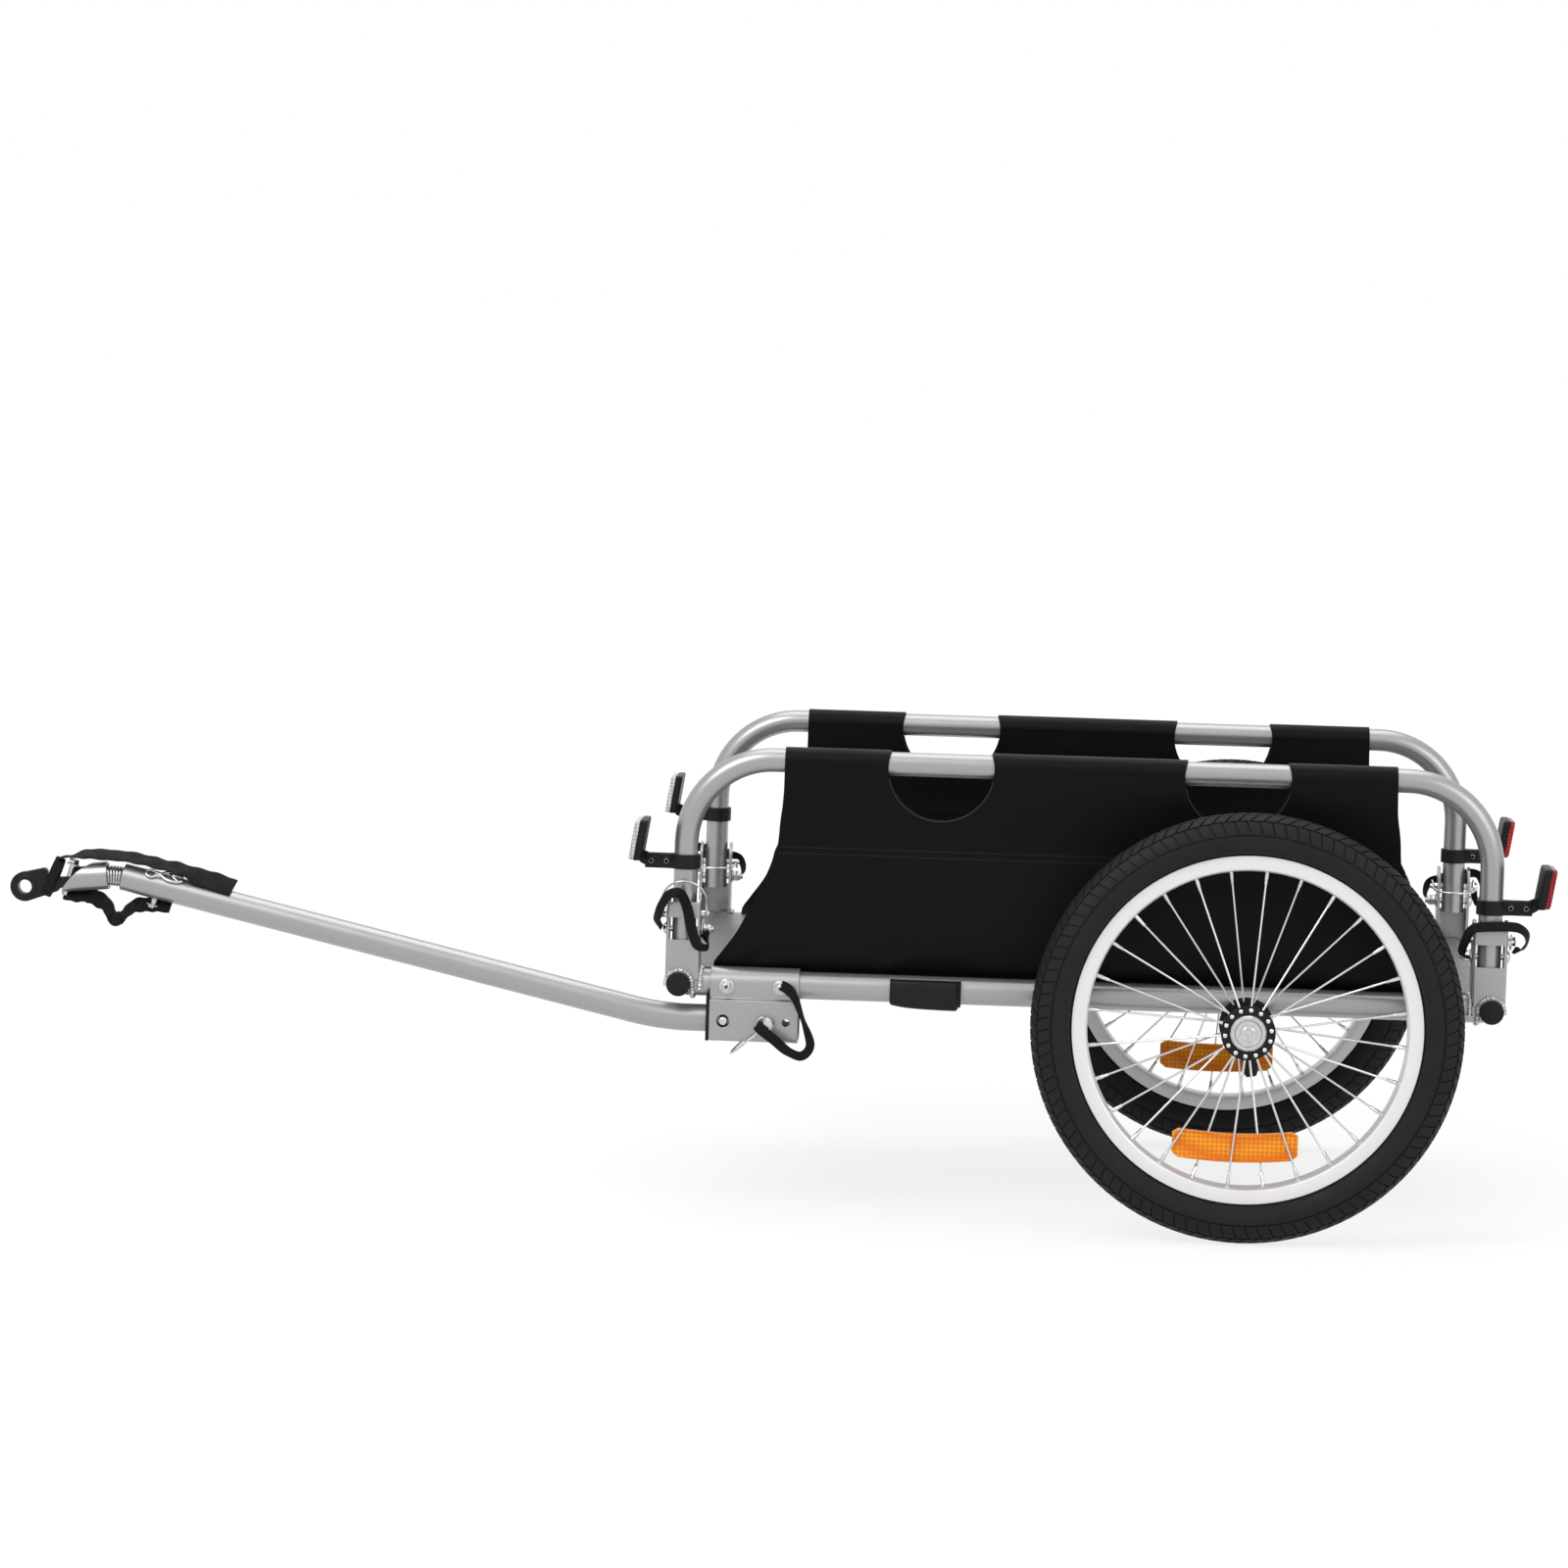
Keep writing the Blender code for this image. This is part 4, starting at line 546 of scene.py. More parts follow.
# Studio: a pale floor, a white surround and three soft lamps, each with its place, size and power
studio = {
    "floorHalf": 30.0, "floorZ": -0.0005, "floorColor": 0.92, "floorRough": 0.9, "floorGlow": 1.04,
    "surround": 0.55, "shadowNear": 0.75, "shadowFar": 1.3, "shadowShare": 0.22, "aim": (0.1, 0, 0.2),
    "lamps": (("keyLamp", (-1.6, -2.6, 3.0), 1.7, 70.0), ("fillLamp", (2.6, -2.4, 1.8), 2.0, 26.0), ("topLamp",
        (0.2, 0.6, 3.4), 2.6, 40.0))}


def whiteToLens(tree):
    # 1 where a camera, mirror or glass ray meets the surface
    path = addNode(tree, "LightPath").outputs
    seen = addMath(tree, "MAXIMUM", path["Is Camera Ray"], path["Is Glossy Ray"])
    return addMath(tree, "MAXIMUM", seen, path["Is Transmission Ray"])


def mixInto(tree, share, plain, seen, output):
    # output shows the shader seen by share of the rays, and plain for the rest
    mix = addNode(tree, "MixShader", Fac=share)
    tree.links.new(plain.outputs[0], mix.inputs[1])
    tree.links.new(seen.outputs[0], mix.inputs[2])
    tree.links.new(mix.outputs[0], tree.nodes[output].inputs["Surface"])


def makeWorld():
    world = bpy.data.worlds.new("whiteStudio")
    bpy.context.scene.world = world
    world.use_nodes = True
    tree = world.node_tree
    plain = tree.nodes["Background"]
    plain.inputs["Color"].default_value = (1, 1, 1, 1)
    plain.inputs["Strength"].default_value = studio["surround"]
    bright = addNode(tree, "Background", Color=(1, 1, 1, 1))
    mixInto(tree, whiteToLens(tree), plain, bright, "World Output")


def makeFloor():
    grey = studio["floorColor"]
    look, tree, shader = newLook("paleFloor", {"Base Color": (grey, grey, grey, 1),
                                               "Roughness": studio["floorRough"]})
    glow = addNode(tree, "Emission", Strength=studio["floorGlow"])
    # the floor keeps the shadow close to the trailer and is plain white farther out
    away = addNode(tree, "VectorMath")
    away.operation = "LENGTH"
    feed(tree, away.inputs[0], addNode(tree, "TexCoord").outputs["Object"])
    fade = addNode(tree, "MapRange", From_Min=studio["shadowNear"], From_Max=studio["shadowFar"],
                   To_Min=1.0 - studio["shadowShare"], To_Max=1.0, Value=away.outputs["Value"])
    fade.interpolation_type = "SMOOTHSTEP"
    share = addMath(tree, "MULTIPLY", whiteToLens(tree), fade.outputs["Result"])
    mixInto(tree, share, shader, glow, "Material Output")
    looks["floor"] = look
    half = studio["floorHalf"]
    bm = bmesh.new()
    bm.faces.new([bm.verts.new((x * half, y * half, studio["floorZ"]))
                  for x, y in ((-1, -1), (1, -1), (1, 1), (-1, 1))])
    finishPiece("floor", bm, "floor")


def makeLamps():
    for name, place, size, power in studio["lamps"]:
        data = bpy.data.lights.new(name, "AREA")
        data.size = size
        data.energy = power
        lamp = link(name, data)
        lamp.location = place
        lamp.rotation_euler = (Vector(studio["aim"]) - Vector(place)).to_track_quat("-Z", "Y").to_euler()


makeWorld()
makeFloor()
makeLamps()
bpy.context.scene.view_settings.view_transform = "Standard"
print("studio and camera made")

# Side hoops
hoop = {"radius": 0.0111, "wall": 0.0015, "bend": 0.08, "footZ": 0.2557, "around": 40, "bendSteps": 20}


def makeHoop(side):
    bend, steps, bendZ = hoop["bend"], hoop["bendSteps"], trailer["topZ"] - hoop["bend"]
    x0, x1 = trailer["frontX"], trailer["rearX"]
    line = [(x0, hoop["footZ"])] + arc(x0 + bend, bendZ, bend, 180, 90, steps)
    line += arc(x1 - bend, bendZ, bend, 90, 0, steps) + [(x1, hoop["footZ"])]
    bm = built(addPipe, [at(x, sides[side] * sideY, z) for x, z in line], hoop["radius"], hoop["wall"],
               hoop["around"])
    makePiece(f"hoopTube.{side}", bm, "paint", f"hoop_{side}", f"hoop_{side}")


for side in sides:
    makeHoop(side)
print("hoops made")

# Bed frame tubes, their end plugs and weld beads. The plug's profile starts at the tube's end
bedFrame = {
    "railRadius": 0.0127, "crossRadius": 0.0111, "wall": 0.0015, "overhang": 0.021, "setBack": 0.006,
    "around": 40, "railAround": 44, "sleeveAround": 36, "sleeveRadius": 0.0096, "sleeveBore": 0.0053,
    "sleeveInboard": 0.02, "sleeveOutboard": 0.021, "sleeveSoft": 0.0006,
    "plug": ((-0.01, 0.009), (0.0, 0.009), (0.0002, 0.0112), (0.003, 0.0112), (0.0038, 0.0106), (0.0042,
        0.0092), (0.0042, 0.0005))}
# Weld beads: how far each stands off its tube, its first and last angle and steps, its radius and its seed
bead = {
    "swell": 0.26, "wave": 1.7, "jitter": 0.14, "around": 10, "side": Vector((0.3, 0.5, 0.8)), "off": 0.0008,
    "footOff": 0.0012, "Tube": (0.001, -12, 192, 64, 0.0024, 11), "Rail": (0.0006, -20, 118, 48, 0.0023, 23),
    "Corner": (0.0004, -150, -14, 40, 0.0021, 37)}


def makeWeld(name, points, radius, seed):
    # a bead that is laid down in overlapping drops
    random.seed(seed)
    rings = []
    for i, (p, u, v) in enumerate(pathFrames(points, bead["side"])):
        drop = 1 + bead["swell"] * math.sin(i * bead["wave"]) + random.uniform(-bead["jitter"], bead["jitter"])
        rings.append(circle(p, u, v, radius * drop, bead["around"]))
    makePiece(name, built(loft, rings), "weld", "frame", angle=60)


def makeBedFrame():
    overhang = sideY + bedFrame["overhang"]
    for end, (x, outward) in ends.items():
        middle = x + outward * trailer["setOut"]
        bm = built(addPipe, [at(middle, way * overhang, railZ) for way in (-1, 1)], bedFrame["crossRadius"],
                   bedFrame["wall"], bedFrame["around"], alongX)
        makePiece(f"crossTube.{end}", bm, "paint", "frame", f"cross_tube_{end}")
        for side, sign in sides.items():
            bm = built(addTurned, bedFrame["plug"], at(middle, sign * overhang, railZ), acrossY * sign,
                       bedFrame["around"])
            makePiece(f"tubePlug.{end}.{side}", bm, "plastic", "frame")
    reach, radius = trailer["setOut"] - bedFrame["setBack"], bedFrame["sleeveRadius"]
    for side, sign in sides.items():
        tips = [at(x, sign * sideY, railZ) for x in (trailer["frontX"] - reach, trailer["rearX"] + reach)]
        bm = built(addPipe, tips, bedFrame["railRadius"], bedFrame["wall"], bedFrame["railAround"])
        makePiece(f"railTube.{side}", bm, "paint", "frame", f"side_rail_{side}")
        spots = [at(0, sign * (sideY + a), wheelRadius)
                 for a in (-bedFrame["sleeveInboard"], bedFrame["sleeveOutboard"])]
        bm = built(addPipe, spots, radius, radius - bedFrame["sleeveBore"], bedFrame["sleeveAround"], alongX)
        sleeve = makePiece(f"axleSleeve.{side}", bm, "paint", "frame", f"side_rail_{side}")
        softenEdges(sleeve, bedFrame["sleeveSoft"])


makeBedFrame()
print("bed frame made")

# Wheels: tyre with cut tread blocks, channel rim, radial spokes, hub and reflector. Each row of the tread is
# its first and last angle across the tyre and its skew. Profiles are (distance from the wheel's middle, radius)
tyre = {
    "centreRadius": 0.177, "sectionRadius": 0.022, "thick": 0.004, "treadDepth": 0.0015, "pitches": 104,
    "groove": 0.0016, "cell": 0.18, "inset": 0.0004, "levels": (-0.0018, -0.00025, 0.0), "shoulder": 76,
    "shoulderDrop": 0.0004, "rings": 208, "beadNeck": 0.0105, "beadLow": 0.157,
    "rows": ((-80, -45, -0.1), (-42, -15, 0.16), (-12, 12, 0.0), (15, 42, -0.16), (45, 80, 0.1))}
rim = {
    "outer": 0.161, "inner": 0.1465, "segments": 144,
    "right": ((0.0126, 0.161), (0.013, 0.1606), (0.013, 0.1507), (0.0118, 0.1481), (0.009, 0.1465)),
    "inside": ((0.007, 0.1487), (0.0108, 0.152), (0.0108, 0.161))}
spokes = {
    "perFlange": 14, "phase": 5.1, "radius": 0.001, "circle": 0.02125, "rimOffset": 0.0022, "around": 12,
    "stand": 0.001, "bend": ((0.0, 0.0016), (0.0006, 0.0004), (0.0022, 0.0)), "straight": (0.06, 0.1365),
    "head": ((-0.0004, 0.0012), (0.0, 0.0019), (0.0006, 0.0019), (0.0011, 0.0012), (0.0012, 0.0002)),
    "headLift": 0.0001, "nippleRoot": 0.134, "nippleTip": 0.1477, "nippleRadius": 0.0019,
    "nipple": ((0, 0.0011), (0.0006, 0.001558), (0.0048, 0.001634), (0.0054, 0.0019))}
hub = {
    "flangeOffset": 0.03, "flangeThick": 0.003, "outerEnd": 0.0338,
    "half": ((0.0315, 0.016), (0.0315, 0.0242), (0.0307, 0.025), (0.0293, 0.025), (0.0285, 0.0242), (0.0285,
        0.0145), (0.0263, 0.0122), (0.018, 0.011)),
    "waist": (0.0, 0.0106), "outerFace": ((0.0338, 0.0053), (0.0338, 0.015)),
    "innerFace": ((-0.0355, 0.0085), (-0.0355, 0.0053)),
    "cap": ((0.0313, 0.0166), (0.0333, 0.0166), (0.0341, 0.016), (0.035, 0.015), (0.035, 0.0126), (0.0342,
        0.0118), (0.034, 0.0072), (0.033, 0.0072))}
barReflector = {
    "radius": 0.108, "half": 0.0577, "tall": 0.0137, "bow": 0.0035, "forward": -0.0076, "corner": 0.0042,
    "steps": 20, "boss": 0.0062, "bossDepth": (0.0001, 0.0012),
    "layers": ((0.003, 0.0007), (0.0026, 0.0007), (0.0022, 0.0), (0.0008, 0.0), (0.0, 0.0008), (0.0, 0.0045),
        (0.0008, 0.0055))}


def radial(angle):
    return Vector((math.sin(angle), 0, math.cos(angle)))


def mirrored(profile):
    return [(-a, r) for a, r in reversed(profile)]


def wheelRing(bm, section, centre, sign, count):
    loft(bm, [[centre + radial(t) * r + Vector((0, sign * a, 0)) for a, r in section] for t in spin(count)],
         closed=True)


def tyrePoint(centre, sign, theta, phi, rise):
    # theta runs across the tread from its crown, phi round the wheel, both in radians
    r = tyre["sectionRadius"] + rise
    radius = tyre["centreRadius"] + r * math.cos(theta)
    return centre + radial(phi) * radius + Vector((0, sign * r * math.sin(theta), 0))


def treadRing(centre, sign, low, high, skew, cells, start, rise):
    # a tread block's outline at one height, whose upper edge is set in a little
    step, inset = 2 * math.pi / tyre["pitches"], 0.0 if rise < 0 else tyre["inset"]
    half = step / 2 - tyre["groove"] / 2 / wheelRadius - inset / wheelRadius
    left, right = [], []
    for c in range(cells + 1):
        theta = low + (high - low) * c / cells + inset / tyre["sectionRadius"] * ((c == 0) - (c == cells))
        phi = start + skew * step * (c / cells - 0.5) * 4
        drop = rise - tyre["shoulderDrop"] * (abs(theta) > math.radians(tyre["shoulder"]))
        left.append(tyrePoint(centre, sign, theta, phi - half, drop))
        right.append(tyrePoint(centre, sign, theta, phi + half, drop))
    return left + right[::-1]


def makeTyre(side, centre):
    sign, full, middle = sides[side], tyre["sectionRadius"], tyre["centreRadius"]
    neck, low, thick, seat = tyre["beadNeck"], tyre["beadLow"], tyre["thick"], rim["outer"] + gap
    section = [(neck, low), (neck, seat)] + arc(0, middle, full, -36, 4, 8)
    section += arc(0, middle, full - tyre["treadDepth"], 8, 172, 28) + arc(0, middle, full, 176, 216, 8)
    section += [(-neck, seat), (-neck, low), (-neck + thick, low)]
    section += arc(0, middle, full - thick, 200, -20, 10) + [(neck - thick, low)]
    bm = bmesh.new()
    wheelRing(bm, section, centre, sign, tyre["rings"])
    for row, (low, high, skew) in enumerate(tyre["rows"]):
        low, high = math.radians(low), math.radians(high)
        cells = max(2, round((high - low) / tyre["cell"]))
        for i in range(tyre["pitches"]):
            start = 2 * math.pi / tyre["pitches"] * (i + (0.5 if row % 2 else 0.0))
            rings = [treadRing(centre, sign, low, high, skew, cells, start, rise) for rise in tyre["levels"]]
            closeStrip(bm, loft(bm, rings, capped=False)[-1], cells)
    makePiece(f"tyre.{side}", bm, "rubber", f"wheel_{side}", f"tyre_{side}", angle=30)


def spokeOffset(radius):
    # how far a spoke's line stands from the wheel's middle plane at a radius
    root = hub["flangeOffset"] - hub["flangeThick"] / 2 - spokes["radius"] - gap
    share = (rim["inner"] - radius) / (rim["inner"] - spokes["circle"])
    return spokes["rimOffset"] + (root - spokes["rimOffset"]) * share


def makeRim(side, centre):
    right, inside = rim["right"], rim["inside"]
    section = [*right, *mirrored(right), *mirrored(inside), *inside]
    bm = built(wheelRing, section, centre, sides[side], rim["segments"])
    makePiece(f"rim.{side}", bm, "alloy", f"wheel_{side}", f"spoked_rim_{side}")


def makeSpokes(side, centre):
    wires, nipples, heads = bmesh.new(), bmesh.new(), bmesh.new()
    face, inner = hub["flangeOffset"] + hub["flangeThick"] / 2, spokeOffset(spokes["circle"])
    bend = [(0.0, face + spokes["stand"])] + [(a, inner + b) for a, b in spokes["bend"]]
    for flange in (1, -1):
        out = Vector((0, sides[side] * flange, 0))
        phase = math.radians(spokes["phase"]) + (0 if flange == 1 else math.pi / spokes["perFlange"])
        for turn in spin(spokes["perFlange"]):
            ray = radial(phase + turn)
            foot = centre + ray * spokes["circle"]
            path = [foot + ray * a + out * b for a, b in bend]
            path += [centre + ray * r + out * spokeOffset(r) for r in spokes["straight"]]
            addRod(wires, path, spokes["radius"], spokes["around"], ray.cross(out))
            addTurned(heads, spokes["head"], foot + out * (face + spokes["headLift"]), out, 14)
            root = centre + ray * spokes["nippleRoot"] + out * spokeOffset(spokes["nippleRoot"])
            along = centre + ray * spokes["nippleTip"] + out * spokeOffset(rim["inner"]) - root
            addTurned(nipples, [*spokes["nipple"], (along.length, spokes["nippleRadius"])], root, along, 10)
    for label, bm in (("spokes", wires), ("spokeHeads", heads), ("nipples", nipples)):
        makePiece(f"{label}.{side}", bm, "spoke", f"wheel_{side}", f"spoked_rim_{side}")


def makeHub(side, centre):
    axis, body = acrossY * sides[side], f"wheel_{side}"
    section = [*hub["outerFace"], *hub["half"], hub["waist"], *mirrored(hub["half"]), *hub["innerFace"]]
    bm = built(addTurned, section, centre, axis, 56, closed=True)
    makePiece(f"hubShell.{side}", bm, "plastic", body, f"hub_{side}")
    makePiece(f"dustCap.{side}", built(addTurned, hub["cap"], centre, axis, 48, closed=True), "zinc", body)


def makeBarReflector(side, centre):
    half, tall, corner, steps = (barReflector[k] for k in ("half", "tall", "corner", "steps"))

    def place(a, b, c):
        # a lies across the wheel's radius, b along it and c in from the spokes
        radius = barReflector["radius"] + b - barReflector["bow"] * ((a / half) ** 2 - 0.5)
        along = a + barReflector["forward"]
        plane = spokeOffset(math.hypot(along, radius)) - spokes["radius"] - 2 * gap
        return centre + Vector((along, sides[side] * (plane - c), -radius))

    upper = []
    for i in range(steps + 1):
        a = -half + 2 * half * i / steps
        edge = max(0.0, abs(a) - (half - corner))
        upper.append((a, -tall + corner - math.sqrt(max(0.0, corner ** 2 - edge ** 2))))
    outline = upper + [(a, -b) for a, b in reversed(upper)]
    bm = bmesh.new()
    made = loft(bm, [[place(a * (1 - shrink / half), b * (1 - shrink / tall), c) for a, b in outline]
                     for shrink, c in barReflector["layers"]], capped=False)
    closeStrip(bm, made[0], steps)
    closeStrip(bm, made[-1], steps)
    addPlate(bm, arc(0, 0, barReflector["boss"], 0, 360, 32)[:-1], place, *barReflector["bossDepth"])
    makePiece(f"barReflector.{side}", bm, "amber", f"wheel_{side}", f"wheel_reflector_{side}")


for side in sides:
    wheelCentre = at(0, sides[side] * trailer["wheelY"], wheelRadius)
    for make in (makeTyre, makeRim, makeSpokes, makeHub, makeBarReflector):
        make(side, wheelCentre)
print("wheels made")

# Side walls: one cloth each side, sleeved over the hoop and run down behind the rail. The front and rear edges
# are (height above the axle, half length), and outer and inner run past the seam as (offset outboard, height)
wall = {
    "front": ((0.24, 0.2818), (0.205, 0.2822), (0.188, 0.2832), (0.173, 0.285), (0.1475, 0.2874), (0.1455,
        0.289), (0.134, 0.292), (0.116, 0.299), (0.095, 0.3085), (0.08, 0.316), (0.065, 0.324), (0.048, 0.336),
        (0.034, 0.3446), (-0.02, 0.345)),
    "rear": ((0.24, 0.2835), (0.2, 0.2846), (0.173, 0.2884), (0.1475, 0.2905), (0.1455, 0.2922), (0.133,
        0.2965), (0.116, 0.302), (0.095, 0.3095), (0.08, 0.3165), (0.065, 0.324), (0.048, 0.336), (0.034,
        0.3446), (-0.02, 0.345)),
    "outer": ((0.0001, -0.008), (0.0003, 0.0), (0.0012, 0.01), (0.0034, 0.022), (0.0062, 0.036), (0.009, 0.05),
        (0.0112, 0.064)),
    "inner": ((-0.0112, 0.064), (-0.009, 0.05), (-0.0062, 0.036), (-0.0036, 0.022), (-0.0018, 0.01), (-0.0012,
        0.0), (-0.0012, -0.008)),
    "thick": 0.0009, "wrap": 0.0123, "centre": -0.1515, "seamDrop": 0.082, "foldZ": 0.2667,
    "foldSpan": (-0.012, 0.014), "panel": (0.0, 0.012, 0.026, 0.042, 0.058), "columns": 150, "creaseTop": -0.01,
    "creaseFade": 0.03, "creaseFoot": 0.022, "creaseFootFade": 0.012, "creaseGain": 1.7, "drift": 0.0006,
    "holeX": 0.137, "holeRadius": 0.049, "holeDrop": 0.003, "cutRadius": 0.0003,
    "stitchRows": (0.0015, -0.0045), "stitch": 0.003, "pitch": 0.0041, "stitchIn": 0.004, "stitchLift": 0.0001,
    "thread": ((-1, 0.00012), (-0.7, 0.0003), (0.7, 0.0003), (1, 0.00012))}
# Creases in the lower wall: from x, z to x, z behind the axle and above the axle, how wide and how deep
creases = ((-0.486, 0.036, -0.425, 0.074, 0.006, 0.0016), (-0.47, 0.034, -0.36, 0.05, 0.007, 0.0014),
           (-0.455, 0.036, -0.44, 0.1, 0.008, -0.001), (-0.33, 0.04, -0.25, 0.052, 0.01, 0.0014),
           (-0.12, 0.036, 0.02, 0.06, 0.012, 0.0012), (0.183, 0.036, 0.12, 0.072, 0.007, 0.0015),
           (0.15, 0.034, 0.06, 0.046, 0.008, 0.0012))
seamZ = trailer["topZ"] - wall["seamDrop"]


def edgeAt(rows, z):
    # a smooth edge through the rows, highest first
    if z >= rows[0][0]:
        return rows[0][1]
    if z <= rows[-1][0]:
        return rows[-1][1]
    i = next(k for k in range(len(rows) - 1) if z >= rows[k + 1][0])
    steps = [(rows[k + 1][1] - rows[k][1]) / (rows[k + 1][0] - rows[k][0])
             for k in (max(i - 1, 0), i, min(i + 1, len(rows) - 2))]
    slopes = [0.0 if a * b <= 0 else 2 * a * b / (a + b) for a, b in zip(steps, steps[1:])]
    (z1, l1), (z2, l2) = rows[i], rows[i + 1]
    h, t = z2 - z1, (z - z1) / (z2 - z1)
    return ((2 * t ** 3 - 3 * t ** 2 + 1) * l1 + (t ** 3 - 2 * t ** 2 + t) * h * slopes[0]
            + (3 * t ** 2 - 2 * t ** 3) * l2 + (t ** 3 - t ** 2) * h * slopes[1])


def clothEnds(z):
    high = z - wheelRadius
    return wall["centre"] - edgeAt(wall["front"], high), wall["centre"] + edgeAt(wall["rear"], high)


def clothLine():
    # the section of the cloth: (offset outboard of the hoop, height), from behind the rail up, over and down
    fold, topZ = wall["foldZ"], trailer["topZ"]
    behind = -(bedFrame["railRadius"] + 0.0025 + 3 * gap + wall["thick"] / 2)
    line = [(behind, railZ - 0.008), (behind, railZ + 0.002), (behind + 0.0004, railZ + 0.008),
            (-0.01, railZ + 0.0145), (-0.0045, fold - 0.022), (-0.0012, fold - 0.01)]
    line += [(0.0, fold + rise) for rise in wall["panel"]] + [(y, seamZ + z) for y, z in wall["outer"]]
    line += arc(0, topZ, wall["wrap"], -12, 192, 14) + [(y, seamZ + z) for y, z in wall["inner"]]
    return smoothOutline(line, 3)


def creaseAt(x, z):
    push = wall["drift"] * math.sin(x * 11 + z * 17) * math.sin(z * 23 + 1.3)
    for x1, z1, x2, z2, width, depth in creases:
        span, away = Vector((x2 - x1, z2 - z1)), Vector((x - x1, z - z1))
        t = limited(away.dot(span) / span.length_squared)
        near = (away - span * t).length
        push += wall["creaseGain"] * depth * (1 - t) ** 0.7 * math.exp(-(near / width) ** 2)
    return push


def onCloth(side, line, x, z, lift=0.0):
    # a spot on the cloth's outer face
    for (y1, z1), (y2, z2) in zip(line, line[1:]):
        if z1 <= z <= z2:
            outboard = y1 + (y2 - y1) * (z - z1) / (z2 - z1)
            return at(x, sides[side] * (sideY + outboard + wall["thick"] / 2 + lift), z)


def makeStitches(side, line):
    bm, half, pitch = bmesh.new(), wall["stitch"] / 2, wall["pitch"]
    profile = [(half * a, r) for a, r in wall["thread"]]
    for row in wall["stitchRows"]:
        z = seamZ + row
        low, far = clothEnds(z)
        start, stop = low + wall["stitchIn"], far - wall["stitchIn"]
        for i in range(int((stop - start) / pitch)):
            spot = onCloth(side, line, start + i * pitch + half, z, wall["stitchLift"])
            addTurned(bm, profile, spot, alongX, 6)
    return makePiece(f"wallStitches.{side}", bm, "thread", f"hoop_{side}", f"side_cloth_{side}")


def makeCutEdges(side, line):
    # the raw edge of the cloth round each half-moon cut-out
    bm = bmesh.new()
    for way in (-1, 1):
        edge = arc(wall["centre"] + way * wall["holeX"], trailer["topZ"] - wall["holeDrop"], wall["holeRadius"],
                   192, 348, 64)
        addRod(bm, [onCloth(side, line, x, z) for x, z in edge], wall["cutRadius"], 8)
    return makePiece(f"cutEdges.{side}", bm, "rawEdge", f"hoop_{side}", f"side_cloth_{side}")


def makeWall(side):
    sign, line = sides[side], clothLine()
    last, offsets, lengths = len(line) - 1, [], [0.0]
    for i, point in enumerate(line):
        (y1, z1), (y2, z2) = line[max(i - 1, 0)], line[min(i + 1, last)]
        half = wall["thick"] / 2 / math.hypot(y2 - y1, z2 - z1)
        offsets.append(((z2 - z1) * half, (y1 - y2) * half))
        if i:
            lengths.append(lengths[-1] + math.dist(point, line[i - 1]))
    topOut, rings, spots = seamZ + wall["creaseTop"], [], []
    outerRows = max(i for i, (y, z) in enumerate(line) if z < topOut and i < len(line) // 2)
    for c in range(wall["columns"] + 1):
        ring = []
        for way, order in ((1, range(last + 1)), (-1, range(last, -1, -1))):
            for i in order:
                (y, z), (dy, dz) = line[i], offsets[i]
                low, far = clothEnds(z)
                x, high = low + (far - low) * (c / wall["columns"]), z - wheelRadius
                fade = limited((high - wall["creaseFoot"]) / wall["creaseFootFade"]) if i <= outerRows else 0.0
                push = creaseAt(x, high) * fade * limited((topOut - z) / wall["creaseFade"])
                ring.append(at(x, sign * (sideY + y + push + way * dy), z + way * dz))
                spots.append((x, lengths[i]))
        rings.append(ring)
    bm = bmesh.new()
    made = loft(bm, rings, capped=False)
    closeStrip(bm, made[0], last)
    closeStrip(bm, made[-1], last)
    layFlat(bm, dict(zip([v for ring in made for v in ring], spots)))
    cloth = finishPiece(f"sideWall.{side}", bm, "cloth")
    centres = [at(wall["centre"] + way * wall["holeX"], sign * sideY, trailer["topZ"] - wall["holeDrop"])
               for way in (-1, 1)]
    drill(cloth, centres, wall["holeRadius"], acrossY, 0.03, 96)
    spot = at(0, sign * sideY, 0)
    span = [(spot.x, spot.y, wall["foldZ"] + z) for z in wall["foldSpan"]]
    bridge(cloth, "cloth", ("frame", f"hoop_{side}"), *span, f"side_cloth_{side}", f"cloth_skirt_{side}")
    wide, tall = 2 * edgeAt(wall["front"], 0.0), lengths[-1]
    extras = [makeStitches(side, line), makeCutEdges(side, line)]


for side in sides:
    makeWall(side)
print("side walls made")

# Tow bar with its bend
towBar = {
    "drop": 0.0335, "radius": 0.0127, "wall": 0.0013, "rise": 12.6, "bendX": -0.5426, "bendRadius": 0.25,
    "bendSteps": 16, "rearX": -0.4165, "frontX": -1.0505, "halfGap": 0.0071, "around": 44,
    "holes": (-0.4415, -0.4256), "hole": 0.0036, "snapX": -0.4841, "snapHole": 0.0044, "snapDeep": 0.008}
towZ = railZ - towBar["drop"]
rise = math.radians(towBar["rise"])


def tilted(angle):
    # the way that leads forward and up by an angle, and the one square to it that leads up
    return Vector((-math.cos(angle), 0, math.sin(angle))), Vector((math.sin(angle), 0, math.cos(angle)))


def towPath():
    radius = towBar["bendRadius"]
    bend = arc(towBar["bendX"] + radius * math.tan(rise / 2), towZ + radius, radius, 270, 270 - towBar["rise"],
               towBar["bendSteps"])
    endZ = towZ + (towBar["bendX"] - towBar["frontX"]) * math.tan(rise)
    return [at(x, -sideY, z) for x, z in [(towBar["rearX"], towZ), *bend, (towBar["frontX"], endZ)]]


towAxis, towUp = tilted(rise)
towEnd = towPath()[-1]
hitchPivot = towEnd + towAxis * towBar["halfGap"]


